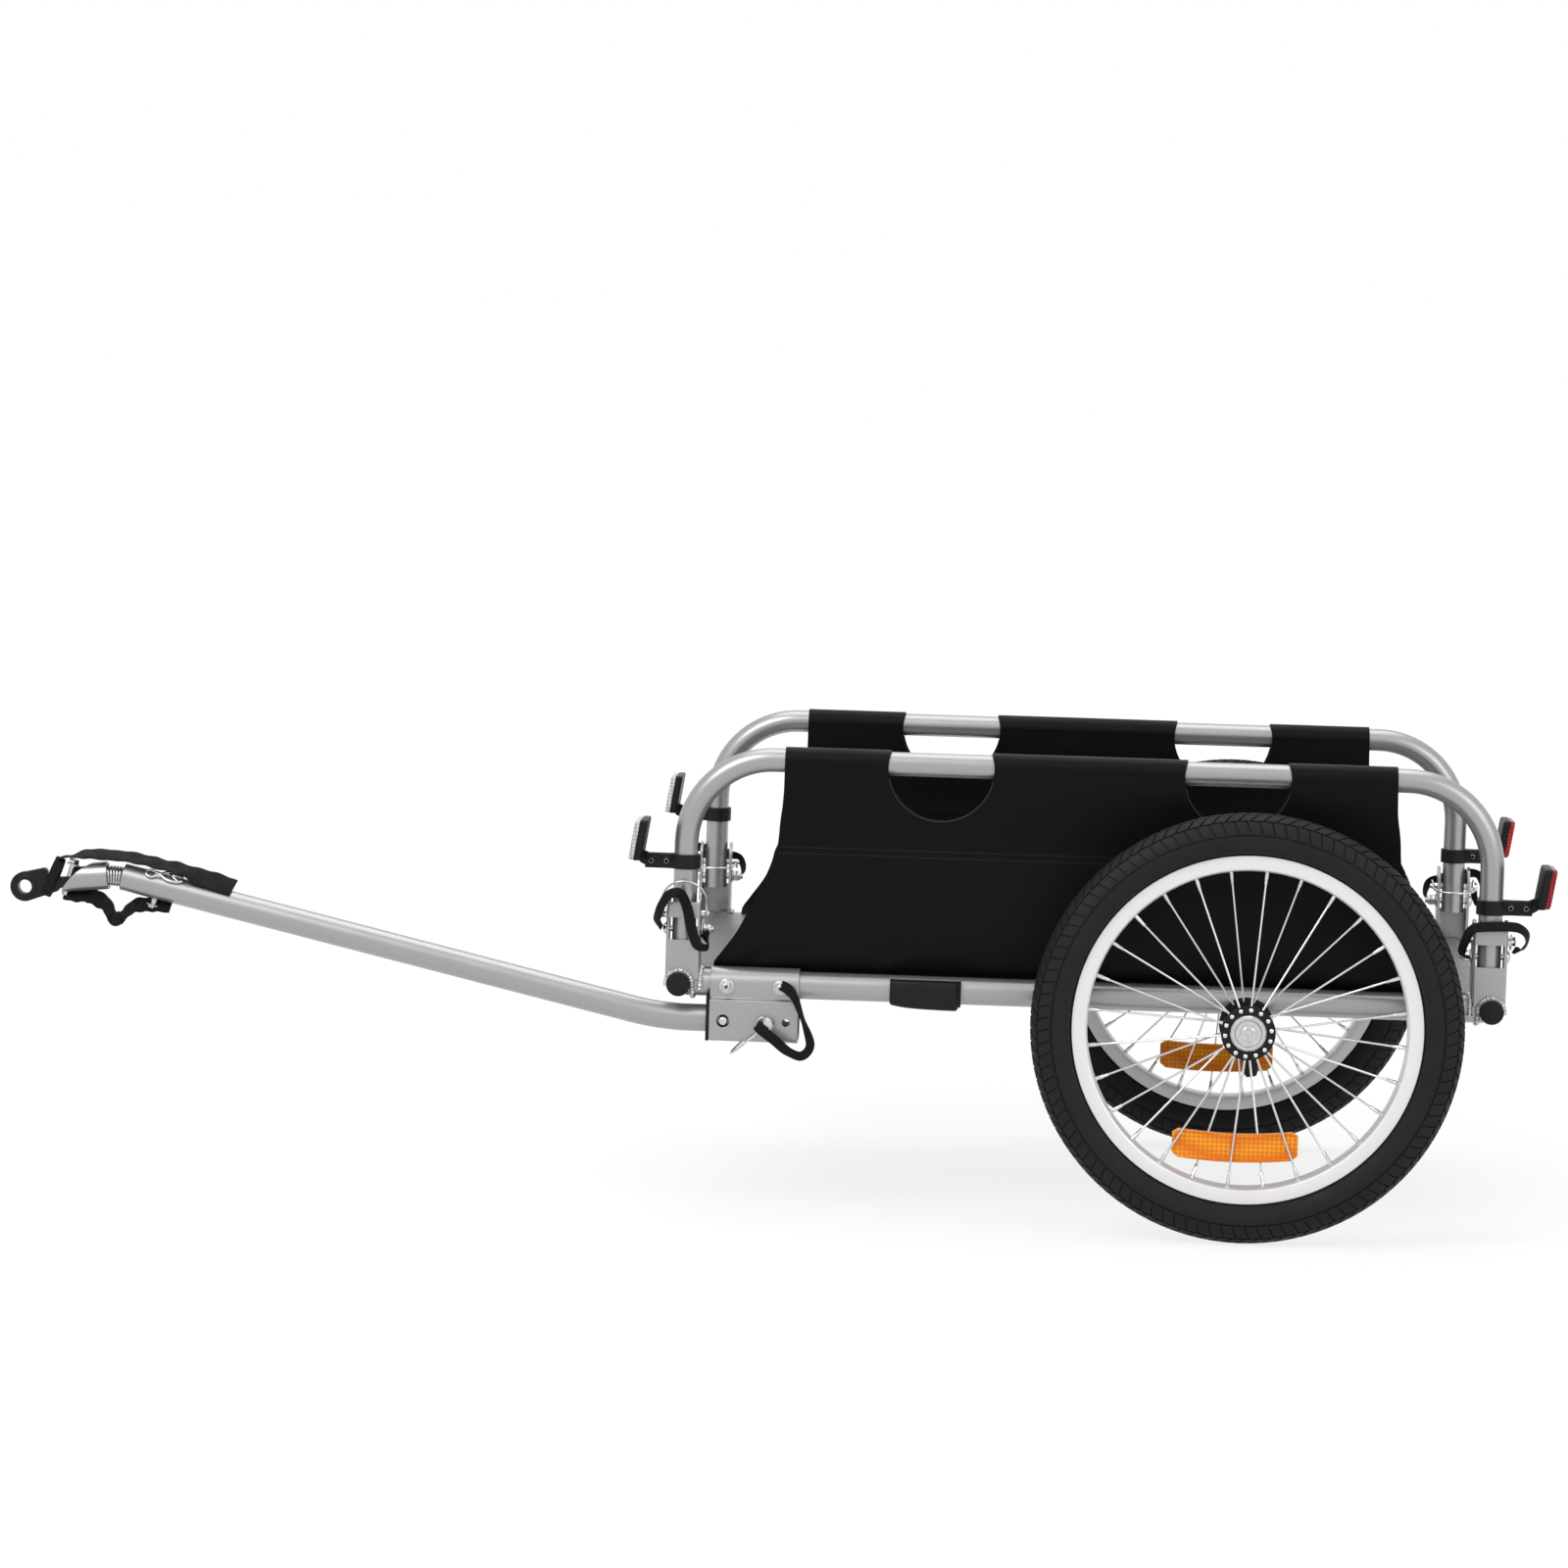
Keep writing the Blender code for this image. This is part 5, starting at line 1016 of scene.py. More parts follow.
def makeTowBar():
    tube = makePiece("towTube", built(addPipe, towPath(), towBar["radius"], towBar["wall"], towBar["around"]),
                     "paint", "tow_bar", "tow_bar")
    drill(tube, [at(x, -sideY, towZ) for x in towBar["holes"]], towBar["hole"], acrossY, 0.03, 28)
    drill(tube, [at(towBar["snapX"], -sideY - towBar["radius"], towZ)], towBar["snapHole"], acrossY,
          towBar["snapDeep"])


makeTowBar()
print("tow bar made")

# Upright brackets with their weld beads, fold bolts, lock pins and wire bails. A fold bolt's profiles start at
# the bracket's nut face or head face, and a pin's profile at its middle
bracket = {
    "half": 0.016, "plate": 0.0025, "webY": 0.0142, "depth": 0.011, "webTop": 0.0758, "top": 0.084,
    "window": (0.0405, 0.0613), "windowIn": 0.0002, "windowCorner": 0.0016, "corner": 0.003,
    "insideCorner": 0.001, "low": 0.004, "pivotRise": 0.0495, "lockRise": 0.064, "soft": 0.0005}
foldBolt = {
    "radius": 0.003, "threadEnd": (-0.0112, 0.0024), "threadFrom": -0.011, "threadPitch": 0.0005,
    "threadTurns": 6, "threadRoot": 0.0027, "shank": -0.007, "across": 0.0097, "nut": (-0.0066, -0.0013),
    "washer": ((-0.0012, 0.0062), (-0.001, 0.0064), (-0.0002, 0.0064), (0.0, 0.0062)),
    "nylon": ((-0.0088, 0.0036), (-0.0085, 0.0043), (-0.006, 0.0045)),
    "head": ((0.0, 0.006), (0.001, 0.0059), (0.0021, 0.0052), (0.0029, 0.004), (0.0034, 0.0022), (0.0036,
        0.0004))}
# A pin and its bail: the wire runs through the pin's head, curls, bows round and clasps the tip
lockPin = {
    "radius": 0.003, "head": 0.0198, "wire": 0.001, "reach": 0.0365, "start": 0.01, "half": 0.0203,
    "around": 32, "crossHole": 0.01, "clasp": (0.0035, -0.0035),
    "curl": ((-0.0064, 0.0), (0.0, 0.0), (0.0058, 0.0), (0.0071, 0.0022), (0.0064, 0.0062)),
    "profile": ((-0.0235, 0.0014), (-0.023, 0.002), (-0.021, 0.003), (0.0163, 0.003), (0.0163, 0.0045), (0.0166,
        0.0048), (0.0229, 0.0048), (0.0237, 0.0043), (0.0241, 0.0034), (0.0241, 0.0005))}
towPin = {
    "radius": 0.0033, "head": 0.0241, "wire": 0.001, "reach": 0.048, "start": 0.014, "half": 0.0245,
    "around": 36, "crossHole": 0.012, "clasp": (0.004, -0.0035),
    "curl": ((-0.0074, 0.0), (0.0, 0.0), (0.0068, 0.0), (0.0084, 0.003), (0.0076, 0.0085)),
    "profile": ((-0.027, 0.0014), (-0.0262, 0.0024), (-0.0245, 0.0033), (0.0191, 0.0033), (0.0191, 0.0055),
        (0.0195, 0.0058), (0.0289, 0.0058), (0.0299, 0.0052), (0.0309, 0.0042), (0.0311, 0.0006))}
bail = {"up": 60, "down": -5, "past": 0.0006, "beside": 0.0007}


def makeBracket(end, side):
    x, outward = ends[end]
    sign, w, t, r, q = sides[side], *(bracket[k] for k in ("half", "plate", "corner", "insideCorner"))
    web, mouth, low, high = (sideY + bracket["webY"], sideY - bracket["depth"], railZ + bracket["low"],
                             railZ + bracket["top"])
    clear, crown = w - t, (bracket["webY"] + bracket["depth"]) / 2
    outline = arc(x + w - r, web - r, r, 0, 90, 6) + arc(x - w + r, web - r, r, 90, 180, 6)
    outline += [(x - w, mouth), (x - clear, mouth)] + arc(x - clear + q, web - t - q, q, 180, 90, 3)
    outline += arc(x + clear - q, web - t - q, q, 90, 0, 3) + [(x + clear, mouth), (x + w, mouth)]
    piece = finishPiece(f"bracket.{end}.{side}",
                        built(addPlate, outline, lambda a, b, c: at(a, sign * b, c), low, high), "paint")
    # the ears end in half circles
    middle = web - crown
    profile = arc(middle, high - crown, crown, 0, 180, 28)
    profile += [(middle + way * crown, low - 0.01) for way in (-1, 1)]
    cutWith(piece, built(addPlate, profile, lambda a, b, c: at(c, sign * a, b), x - 0.03, x + 0.03),
            "INTERSECT")
    # the web ends lower and has a window
    y1, y2 = sorted((sign * (web + 0.01), sign * (web - t - 0.001)))
    bm = built(addPlate, [(x - clear, y1), (x + clear, y1), (x + clear, y2), (x - clear, y2)], at,
               railZ + bracket["webTop"], high + 0.01)
    wide, (foot, head) = clear - bracket["windowIn"], (railZ + z for z in bracket["window"])
    window = roundCorners([(x - wide, foot), (x + wide, foot), (x + wide, head), (x - wide, head)],
                          bracket["windowCorner"], 4)
    addPlate(bm, window, lambda a, b, c: at(a, c, b), y1, y2)
    cutWith(piece, bm)
    tube = at(x + outward * trailer["setOut"], sign * sideY, railZ)
    drill(piece, [tube], bedFrame["crossRadius"] + gap, acrossY, 0.04, 40)
    drill(piece, [at(x - outward * 0.03, sign * sideY, railZ)], bedFrame["railRadius"] + gap, alongX, 0.03, 44)
    spots = [at(x, sign * sideY, railZ + bracket[k]) for k in ("pivotRise", "lockRise")]
    drill(piece, spots, lockPin["radius"] + gap, alongX, 0.04, 20)
    softenEdges(piece, bracket["soft"])
    dress(piece, "paint", "frame", f"upright_bracket_{end}_{side}")


def makeBracketWelds(end, side):
    # beads round the cross tube in front of the web, over the rail, and up the web's foot
    x, outward = ends[end]
    sign, rail, cross, off = sides[side], bedFrame["railRadius"], bedFrame["crossRadius"], bead["off"]
    middle, over = x + outward * trailer["setOut"], x - outward * (bracket["half"] + off)
    across, foot = sign * (sideY + bracket["webY"] + off), middle - outward * (cross + bead["footOff"])
    for label, radius, place in (("Tube", cross, lambda a, b: at(middle + a, across, railZ + b)),
                                 ("Rail", rail, lambda a, b: at(over, sign * (sideY + a), railZ + b)),
                                 ("Corner", rail, lambda a, b: at(foot, sign * (sideY + a), railZ + b))):
        stand, first, last, steps, size, seed = bead[label]
        points = [place(a, b) for a, b in arc(0, 0, radius + stand, first, last, steps)]
        makeWeld(f"weld{label}.{end}.{side}", points, size, seed)


def makePivotBolt(end, side):
    centre, axis = onUpright(end, side, railZ + bracket["pivotRise"])
    face, radius, bm = bracket["half"] + gap, foldBolt["radius"], bmesh.new()

    def turn(profile, start, count):
        addTurned(bm, [(start + a, r) for a, r in profile], centre, axis, count)

    thread = [foldBolt["threadEnd"]]
    for i in range(foldBolt["threadTurns"]):
        a = foldBolt["threadFrom"] + i * foldBolt["threadPitch"]
        thread += [(a, radius), (a + foldBolt["threadPitch"] / 2, foldBolt["threadRoot"])]
    turn(thread + [(foldBolt["shank"], radius), (2 * face, radius)], -face, 24)
    turn(foldBolt["washer"], -face, 32)
    addHex(bm, centre, axis, foldBolt["across"], *(-face + a for a in foldBolt["nut"]))
    turn(foldBolt["nylon"], -face, 28)
    turn(foldBolt["head"], face, 32)
    makePiece(f"foldBolt.{end}.{side}", bm, "zinc", "frame", f"pivot_bolt_{end}_{side}")


def makePinAndBail(names, nodeNames, centre, axis, lean, pin):
    hinge, head, wire = lean.cross(axis).normalized(), centre + axis * pin["head"], pin["wire"]
    made = makePiece(names[0], built(addTurned, pin["profile"], centre, axis, pin["around"]), "zinc",
                     nodeNames[0], nodeNames[0])
    drill(made, [head], wire + gap, hinge, pin["crossHole"], 16)
    half, leg = pin["half"], pin["reach"] - pin["half"]
    tip = centre - axis * (half + bail["past"]) + hinge * (pin["radius"] + wire + bail["beside"])
    bow = [(half, pin["start"]), *arc(0, leg, half, 0, 180, 24), (-half, pin["start"])]
    path = [head + hinge * a + lean * b for a, b in pin["curl"]]
    path += [centre + axis * a + lean * b for a, b in bow]
    path += [tip + lean * a for a in pin["clasp"]]
    makePiece(names[1], built(addRod, smoothPath(path, 3), wire, 12, hinge), "zinc", nodeNames[1], nodeNames[1],
              angle=60)


def makeLockPin(end, side):
    # the front left bail stands up over the bracket, the others reach inboard
    up = (end, side) == ("front", "left")
    tilt = math.radians(bail["up" if up else "down"])
    lean = Vector((0, (1 if up else -1) * sides[side] * math.cos(tilt), math.sin(tilt)))
    makePinAndBail((f"lockPin.{end}.{side}", f"lockBail.{end}.{side}"),
                   (f"lock_pin_{end}_{side}", f"lock_bail_{end}_{side}"),
                   *onUpright(end, side, railZ + bracket["lockRise"]), lean, lockPin)


for end, side in corners:
    for make in (makeBracket, makeBracketWelds, makePivotBolt, makeLockPin):
        make(end, side)
print("brackets, bolts and lock pins made")

# Webbing tethers that keep the lock pins: (outward, outboard of the hoop, above the pin), from bolt to pin head
tether = {
    "width": 0.0095, "thick": 0.0011, "crumple": 0.00025, "seed": 1.3, "span": (0.012, 0.02), "turnShare": 0.6,
    "frontLeft": ((-0.0185, 0.0025, -0.0165), (-0.0225, 0.0105, -0.0215), (-0.0235, 0.0185, -0.029), (-0.014,
        0.0205, -0.027), (-0.0075, 0.0205, -0.01), (-0.004, 0.0215, 0.006), (0.0005, 0.0275, 0.0185), (0.0065,
        0.03, 0.0225), (0.015, 0.027, 0.018), (0.0222, 0.0195, 0.004), (0.025, 0.014, -0.0065), (0.0238, 0.006,
        -0.012), (0.0222, -0.002, -0.0092)),
    "rearLeft": ((-0.0188, 0.003, -0.015), (-0.0262, 0.01, -0.012), (-0.0225, 0.017, 0.004), (-0.0165, 0.0185,
        0.013), (-0.004, 0.019, 0.015), (0.012, 0.019, 0.0158), (0.024, 0.018, 0.0148), (0.0322, 0.015, 0.0095),
        (0.0335, 0.011, 0.001), (0.0285, 0.008, -0.007), (0.022, 0.0045, -0.0072)),
    "right": ((-0.0188, 0.003, -0.015), (-0.0275, 0.006, -0.011), (-0.0235, 0.017, 0.001), (-0.01, 0.0205,
        0.005), (0.006, 0.021, 0.008), (0.018, 0.02, 0.012), (0.027, 0.0195, 0.01), (0.032, 0.0175, 0.0),
        (0.0315, 0.015, -0.011), (0.027, 0.0125, -0.0165), (0.0228, 0.0102, -0.011), (0.0218, 0.0094, -0.003))}


def makeTether(end, side):
    base, out = onUpright(end, side, railZ + bracket["lockRise"])
    route = tether["right" if side == "right" else f"{end}Left"]
    points = smoothPath([base + Vector((out.x * a, sides[side] * b, c)) for a, b, c in route], 6)
    facing = []
    for i, point in enumerate(points):
        away = point - base
        away = Vector((away.x * tether["turnShare"], away.y, away.z * tether["turnShare"]))
        facing.append(alongAt(points, i).cross(away.normalized()).normalized())
    made = strapPiece(f"pinTether.{end}.{side}", points, facing, tether["width"], tether["thick"], 6,
                      tether["crumple"], tether["seed"])
    bridge(made, "webbing", ("frame", f"lock_pin_{end}_{side}"), *(base + out * a for a in tether["span"]))


for end, side in corners:
    makeTether(end, side)
print("tethers made")

# Reflectors on the uprights: a clamp band with two screws, an arm, a ribbed tray and its lens. The layers of
# the tray and the lens are (depth, inset)
clamp = {
    "heights": {"front": 0.131, "rear": 0.1135}, "halfHeight": 0.0068, "plate": 0.0022, "slit": 0.0026,
    "pivot": 0.032, "tip": 0.006, "land": 0.0035, "chamfer": 0.001, "soft": 0.0006, "screws": (0.0178, 0.032),
    "boss": ((-0.0002, 0.0052), (0.0009, 0.005), (0.0009, 0.003)), "screwLift": 0.0007, "shank": 0.0014,
    "head": ((0.0, 0.0031), (0.0009, 0.0031), (0.0017, 0.002666), (0.002, 0.002046)),
    "socket": ((0.002, 0.00168), (0.0021, 0.00168), (0.0021, 0.0015), (0.0009, 0.00144))}
tray = {
    "low": 0.001, "high": 0.039, "half": 0.025, "tilt": 9.0, "faces": {"front": 0.009, "rear": 0.0085},
    "corner": 0.0045, "ribs": 9, "rib": (0.0008, 0.0004, 0.96), "ribDepth": (0.0014, 0.0062), "soft": 0.0002,
    "arm": ((0.004, -0.0056), (0.0105, -0.0022), (0.014, 0.003), (0.014, 0.012)), "armHalf": 0.0022,
    "armEye": 0.006, "layers": ((0.0, 0.0015), (0.0004, 0.0006), (0.0012, 0.0), (0.0064, 0.0), (0.007, 0.0004)),
    "lens": ((0.0071, 0.0012), (0.0071, 0.0006), (0.0098, 0.0006), (0.011, 0.001), (0.0116, 0.0018), (0.0118,
        0.003)),
    "screw": ((-0.0058, 0.0014), (0.0058, 0.0014))}


def makeClamp(end, side):
    x, outward = ends[end]
    sign, z, slit, cut = sides[side], wheelRadius + clamp["heights"][end], clamp["slit"], clamp["chamfer"]
    inner, ear, tip = hoop["radius"] + gap, slit + clamp["plate"], clamp["pivot"] + clamp["tip"]
    outer = inner + clamp["plate"]
    land = outer + clamp["land"]
    start, stop = math.degrees(math.asin(slit / inner)), math.degrees(math.asin(ear / outer))
    outline = [(tip - cut, ear), (land, ear)] + arc(0, 0, outer, stop + 12, 348 - stop, 40)
    outline += [(land, -ear), (tip - cut, -ear), (tip, -ear + cut), (tip, -slit)]
    outline += arc(0, 0, inner, 360 - start, start, 40) + [(tip, slit), (tip, ear - cut)]
    bm = built(addPlate, outline, lambda a, b, c: at(x + outward * a, sign * (sideY + b), z + c),
               -clamp["halfHeight"], clamp["halfHeight"])
    boss = [(ear + a, r) for a, r in clamp["boss"]]
    spots = [at(x + outward * a, sign * sideY, z) for a in clamp["screws"]]
    for spot in spots:
        addTurned(bm, mirrored(boss) + boss, spot, acrossY, 28)
    band = makePiece(f"clampBand.{end}.{side}", bm, "plastic", f"hoop_{side}", f"reflector_clamp_{end}_{side}")
    softenEdges(band, clamp["soft"])
    bm = bmesh.new()
    for spot in spots:
        for way in (1, -1):
            face = spot + acrossY * (way * (ear + clamp["screwLift"]))
            addTurned(bm, clamp["head"], face, acrossY * way, 28)
            addTurned(bm, clamp["socket"], face, acrossY * way, 6)
    addTurned(bm, [(-ear, clamp["shank"]), (ear, clamp["shank"])], spots[0], acrossY, 16)
    makePiece(f"clampScrews.{end}.{side}", bm, "oxide", f"hoop_{side}")


def makeReflector(end, side):
    x, outward = ends[end]
    pivot = at(x + outward * clamp["pivot"], sides[side] * sideY, wheelRadius + clamp["heights"][end])
    lean, wide, body = math.tan(math.radians(tray["tilt"])), tray["half"], f"reflector_{end}_{side}"
    middle, tall = (tray["low"] + tray["high"]) / 2, (tray["high"] - tray["low"]) / 2
    outline = roundCorners([(-wide, -tall), (wide, -tall), (wide, tall), (-wide, tall)], tray["corner"], 6)

    def place(a, b, c):
        return pivot + Vector((outward * (tray["faces"][end] + c) + lean * (middle + b), a, middle + b))

    def layers(rows):
        return [[place(a * (1 - inset / wide), b * (1 - inset / tall), c) for a, b in outline]
                for c, inset in rows]

    bm = built(loft, layers(tray["layers"]))
    rib, proud, root = tray["rib"]
    for i in range(tray["ribs"]):
        b = -tall + 2 * tall * (i + 0.5) / tray["ribs"]
        for way in (-1, 1):
            hull = [bm.verts.new(place(way * (wide + proud) * m, b + n, c)) for m in (1, root)
                    for n in (-rib, rib) for c in tray["ribDepth"]]
            bmesh.ops.convex_hull(bm, input=hull)
    arm = arc(0, 0, tray["armEye"], 90, 270, 20) + list(tray["arm"])
    addPlate(bm, arm, lambda a, b, c: pivot + Vector((outward * a, c, b)), -tray["armHalf"], tray["armHalf"])
    softenEdges(makePiece(f"reflectorTray.{end}.{side}", bm, "plastic", body, body), tray["soft"])
    colour = "clear" if end == "front" else "red"
    makePiece(f"reflectorLens.{end}.{side}", built(loft, layers(tray["lens"])), colour, body, body)
    bm = built(addTurned, tray["screw"], pivot, acrossY, 16)
    makePiece(f"reflectorScrew.{end}.{side}", bm, "oxide", body)


for end, side in corners:
    makeClamp(end, side)
    makeReflector(end, side)
print("reflectors made")

# Tow receiver: a folded saddle over the rail, its liner, two bolts, the tow pin with its bow and strap
receiver = {
    "front": -0.497, "rear": -0.4143, "plate": 0.0025, "half": 0.0188, "drop": 0.0524, "joggle": 0.0118,
    "joggleDrop": 0.0026, "sideBend": 0.001, "footBend": 0.0016, "pinX": (-0.4415, -0.4256), "snapX": -0.4841,
    "snapHole": 0.006, "boltX": (-0.4817, -0.4314), "boltRise": -0.0012, "boltLift": 0.0002,
    "snapOut": 0.018, "snapDeep": 0.006, "soft": 0.0004,
    "washer": ((-0.003, 0.0066), (0.0008, 0.0066), (0.001, 0.0063)), "boltHead": (0.001, 0.0052, 0.0008),
    "dome": ((0.005, 0.0036), (0.0056, 0.0033), (0.006, 0.0026)), "across": 0.01,
    "socket": ((0.0055, 0.0019), (0.00605, 0.0019)),
    "button": ((-0.0048, 0.005), (-0.0034, 0.005), (-0.0034, 0.0042), (0.0056, 0.0042), (0.0066, 0.0038),
        (0.0074, 0.0029), (0.0078, 0.0014), (0.0078, 0.0004))}
# The pin's strap: (behind the receiver's end or the pin, outboard, above the rail or the bar) and its facing
pinStrap = {
    "width": 0.0098, "thick": 0.0012, "crumple": 0.0003, "seed": 0.8, "span": (0.212, 0.188),
    "fromRail": ((-0.0165, 0.002, 0.002), (-0.01, 0.0042, -0.001), (-0.003, 0.005, -0.01)),
    "fromEnd": ((0.006, 0.007, 0.002), (0.0125, 0.01, -0.018), (0.005, 0.0125, -0.0285)),
    "fromPin": ((0.02, 0.0145, -0.0245), (0.007, 0.015, -0.0145), (-0.005, 0.0146, -0.0055), (-0.0095, 0.012,
        -0.0015), (-0.009, 0.0085, -0.0005)),
    "facing": ((0.6, 0, 1), (1, 0, 0.6), (0.8, 0.9, 0), (0.4, 1, 0), (1, 0.7, 0), (0.4, 0.5, -0.9), (-0.5, 0.4,
        -0.8), (-0.6, 0.1, -0.8), (-0.6, 0, -0.8), (-0.6, 0, -0.8), (-0.6, 0, -0.8))}


def receiverOutline(grow):
    # round the top of the rail and down both sides, grow outside the plate's inner face
    radius, half = bedFrame["railRadius"] + gap + grow, receiver["half"] - receiver["plate"] + grow
    low, foot = -receiver["drop"] + receiver["plate"] - grow, receiver["footBend"] + grow * 0.6
    upper, lower = -receiver["joggle"] - grow * 0.2, -receiver["joggle"] - receiver["joggleDrop"] + grow * 0.2
    sharp = [(-radius, upper), (-half, lower), (-half, low), (half, low), (half, lower), (radius, upper)]
    points = arc(0, 0, radius, 0, 180, 36) + [sharp[0]]
    for i, bend in ((1, receiver["sideBend"]), (2, foot), (3, foot), (4, receiver["sideBend"])):
        points += bendCorner(sharp[i], sharp[i - 1], sharp[i + 1], bend, 5)
    return points + [sharp[5]]


def makeReceiver():
    front, rear, rings = receiver["front"], receiver["rear"], []
    for x, grow in ((rear, 0), (front, 0), (front, receiver["plate"]), (rear, receiver["plate"])):
        rings.append([at(x, -sideY + a, railZ + b) for a, b in receiverOutline(grow)])
    piece = finishPiece("towReceiver", built(loft, rings, closed=True), "paint")
    drill(piece, [at(x, -sideY, towZ) for x in receiver["pinX"]], towPin["radius"] + gap, acrossY, 0.03, 28)
    drill(piece, [at(receiver["snapX"], -sideY - receiver["snapOut"], towZ)], receiver["snapHole"], acrossY,
          receiver["snapDeep"], 36)
    softenEdges(piece, receiver["soft"])
    dress(piece, "paint", "frame", "tow_receiver")
    bm, socketShades = bmesh.new(), bmesh.new()
    outside = bedFrame["railRadius"] + gap + receiver["plate"] + receiver["boltLift"]
    for a in receiver["boltX"]:
        for way in (-1, 1):
            face, axis = at(a, -sideY + way * outside, railZ + receiver["boltRise"]), acrossY * way
            addTurned(bm, receiver["washer"], face, axis, 32)
            addHex(bm, face, axis, receiver["across"], *receiver["boltHead"])
            addTurned(bm, receiver["dome"], face, axis, 24)
            # a thin black hex disc on each dome's top stands for the painted shade in its socket recess
            addTurned(socketShades, receiver["socket"], face, axis, 6)
    makePiece("receiverBolts", bm, "zinc", "frame")
    makePiece("boltSocketShades", socketShades, "oxide", "frame", slotName="zinc_plate")


def makeTowPinStrap():
    out, rear, pinX = -sideY - receiver["half"], receiver["rear"], receiver["pinX"][0]
    runs = ((rear, railZ, "fromRail"), (rear, towZ, "fromEnd"), (pinX, towZ, "fromPin"))
    route = [at(x + a, out - b, z + c) for x, z, rows in runs for a, b, c in pinStrap[rows]]
    facing = [Vector(f) for f in pinStrap["facing"]]
    made = strapPiece("towPinStrap", smoothPath(route, 6), smoothPath(facing, 6), pinStrap["width"],
                      pinStrap["thick"], 6, pinStrap["crumple"], pinStrap["seed"])
    spot = at(rear, out, 0)
    span = [(spot.x, spot.y, z) for z in pinStrap["span"]]
    bridge(made, "webbing", ("frame", "tow_pin"), *span, "tow_pin_strap")


def makeSnapButton():
    centre = at(receiver["snapX"], -sideY - towBar["radius"], towZ)
    bm = built(addTurned, receiver["button"], centre, -acrossY, 36)
    makePiece("snapButton", bm, "zinc", "snap_button", "snap_button")


makeReceiver()
makePinAndBail(("towPin", "towBail"), ("tow_pin", "tow_bail"), at(receiver["pinX"][0], -sideY, towZ), -acrossY,
               Vector((-0.74, 0, -0.67)).normalized(), towPin)
makeTowPinStrap()
makeSnapButton()
print("receiver made")

# Coupler: the coil between tow bar and sleeve, the sleeve's curved nose, the forged hitch arm and the webbing.
# Its outlines are (ahead of the hitch pivot, above the hitch axis)
coupler = {
    "droop": 5.5, "eyeReach": 1.1425, "eyeDrop": 0.0053, "eyeRadius": 0.0139, "springRadius": 0.009,
    "springLength": 0.024, "wire": 0.001, "turns": 9, "perTurn": 28, "span": 0.014, "sleeveLong": 0.056,
    "sleeveOuter": 0.013, "sleeveSoft": 0.0004,
    "nose": ((0.01, 0.016), (0.019, 0.0134), (0.0268, 0.0105), (0.0326, 0.0073), (0.0384, 0.0033), (0.043,
        -0.001), (0.05, -0.009), (0.053, -0.016)),
    "shank": 0.01, "seat": 0.006, "armHalf": 0.0045, "armSoft": 0.0009, "bore": 0.0065,
    "collar": ((-0.0056, 0.0105), (0.0056, 0.0105)),
    "shankProfile": ((0.02, 0.008), (0.022, 0.01), (0.038, 0.01)),
    "upper": ((0.067, 0.011), (0.064, 0.0085), (0.0615, 0.002), (0.034, 0.0015)),
    "lower": ((0.034, -0.0086), (0.0525, -0.0086), (0.056, -0.0118))}
# The pin that holds the arm in the sleeve, its head above and its tip below. Point and nut start at the tip
hitchPin = {
    "top": Vector((-0.66, -sideY, 0.308)), "tip": Vector((-0.668, -sideY, 0.2775)), "head": (-0.0042, 0.0),
    "across": 0.009, "washer": ((0.0, 0.006), (0.001, 0.006)), "shank": ((-0.001, 0.0028), (0.0, 0.003)),
    "point": ((-0.001, 0.003), (0.0, 0.0022)), "nut": ((-0.01, 0.005), (-0.005, 0.0048))}
droop = math.radians(coupler["droop"])
hitchAxis, hitchUp = tilted(-droop)


def hitchPlace(s, w, c):
    return hitchPivot + hitchAxis * s + hitchUp * w + acrossY * c


def onTow(back, high, c):
    return towEnd - towAxis * back + towUp * high + acrossY * c


def couplerBridge(piece, half, look, replaced):
    # the rear half lies between the tow bar and the coupler, the front half between the coupler and the hitch
    if half == "rear":
        bridge(piece, look, ("tow_bar", "coupler"), hitchPivot - towAxis * coupler["span"], hitchPivot,
               replaced)
    else:
        bridge(piece, look, ("coupler", "hitch"), hitchPivot, hitchPivot + hitchAxis * coupler["span"],
               replaced)


def makeSpring():
    turn, total = rise + droop, coupler["turns"] * coupler["perTurn"]
    radius, (along, up) = coupler["springLength"] / turn, tilted((rise - droop) / 2)
    middle = hitchPivot - up * (radius / math.cos(turn / 2))
    points = []
    for i, wind in enumerate(spin(coupler["perTurn"], total + 1)):
        bend = turn * (i / total - 0.5)
        out = up * math.cos(bend) + along * math.sin(bend)
        points.append(middle + out * radius
                      + (out * math.cos(wind) + acrossY * math.sin(wind)) * coupler["springRadius"])
    cut = len(points) // 2
    for half, run in (("rear", points[:cut + 1]), ("front", points[cut:])):
        coil = finishPiece(f"spring.{half}", built(addRod, run, coupler["wire"], 12, hitchAxis), "zinc", 60)
        couplerBridge(coil, half, "zinc", "coupler_spring")


def makeSleeve():
    outer = coupler["sleeveOuter"]
    tips = [hitchPlace(s, 0, 0) for s in (towBar["halfGap"], coupler["sleeveLong"])]
    bm = built(addPipe, tips, outer, outer - coupler["shank"] - gap, 48)
    sleeve = finishPiece("couplerSleeve", bm, "paint")
    drill(sleeve, tips[:1], coupler["springRadius"] + coupler["wire"] + 3 * gap, hitchAxis, coupler["seat"], 40)
    nose, beyond = smoothOutline(coupler["nose"], 5), coupler["sleeveLong"] + 0.02
    outline = nose + [(beyond, nose[-1][1]), (beyond, nose[0][1])]
    cutWith(sleeve, built(addPlate, outline, hitchPlace, -0.02, 0.02))
    softenEdges(sleeve, coupler["sleeveSoft"])
    dress(sleeve, "paint", "hitch", "coupler_sleeve")


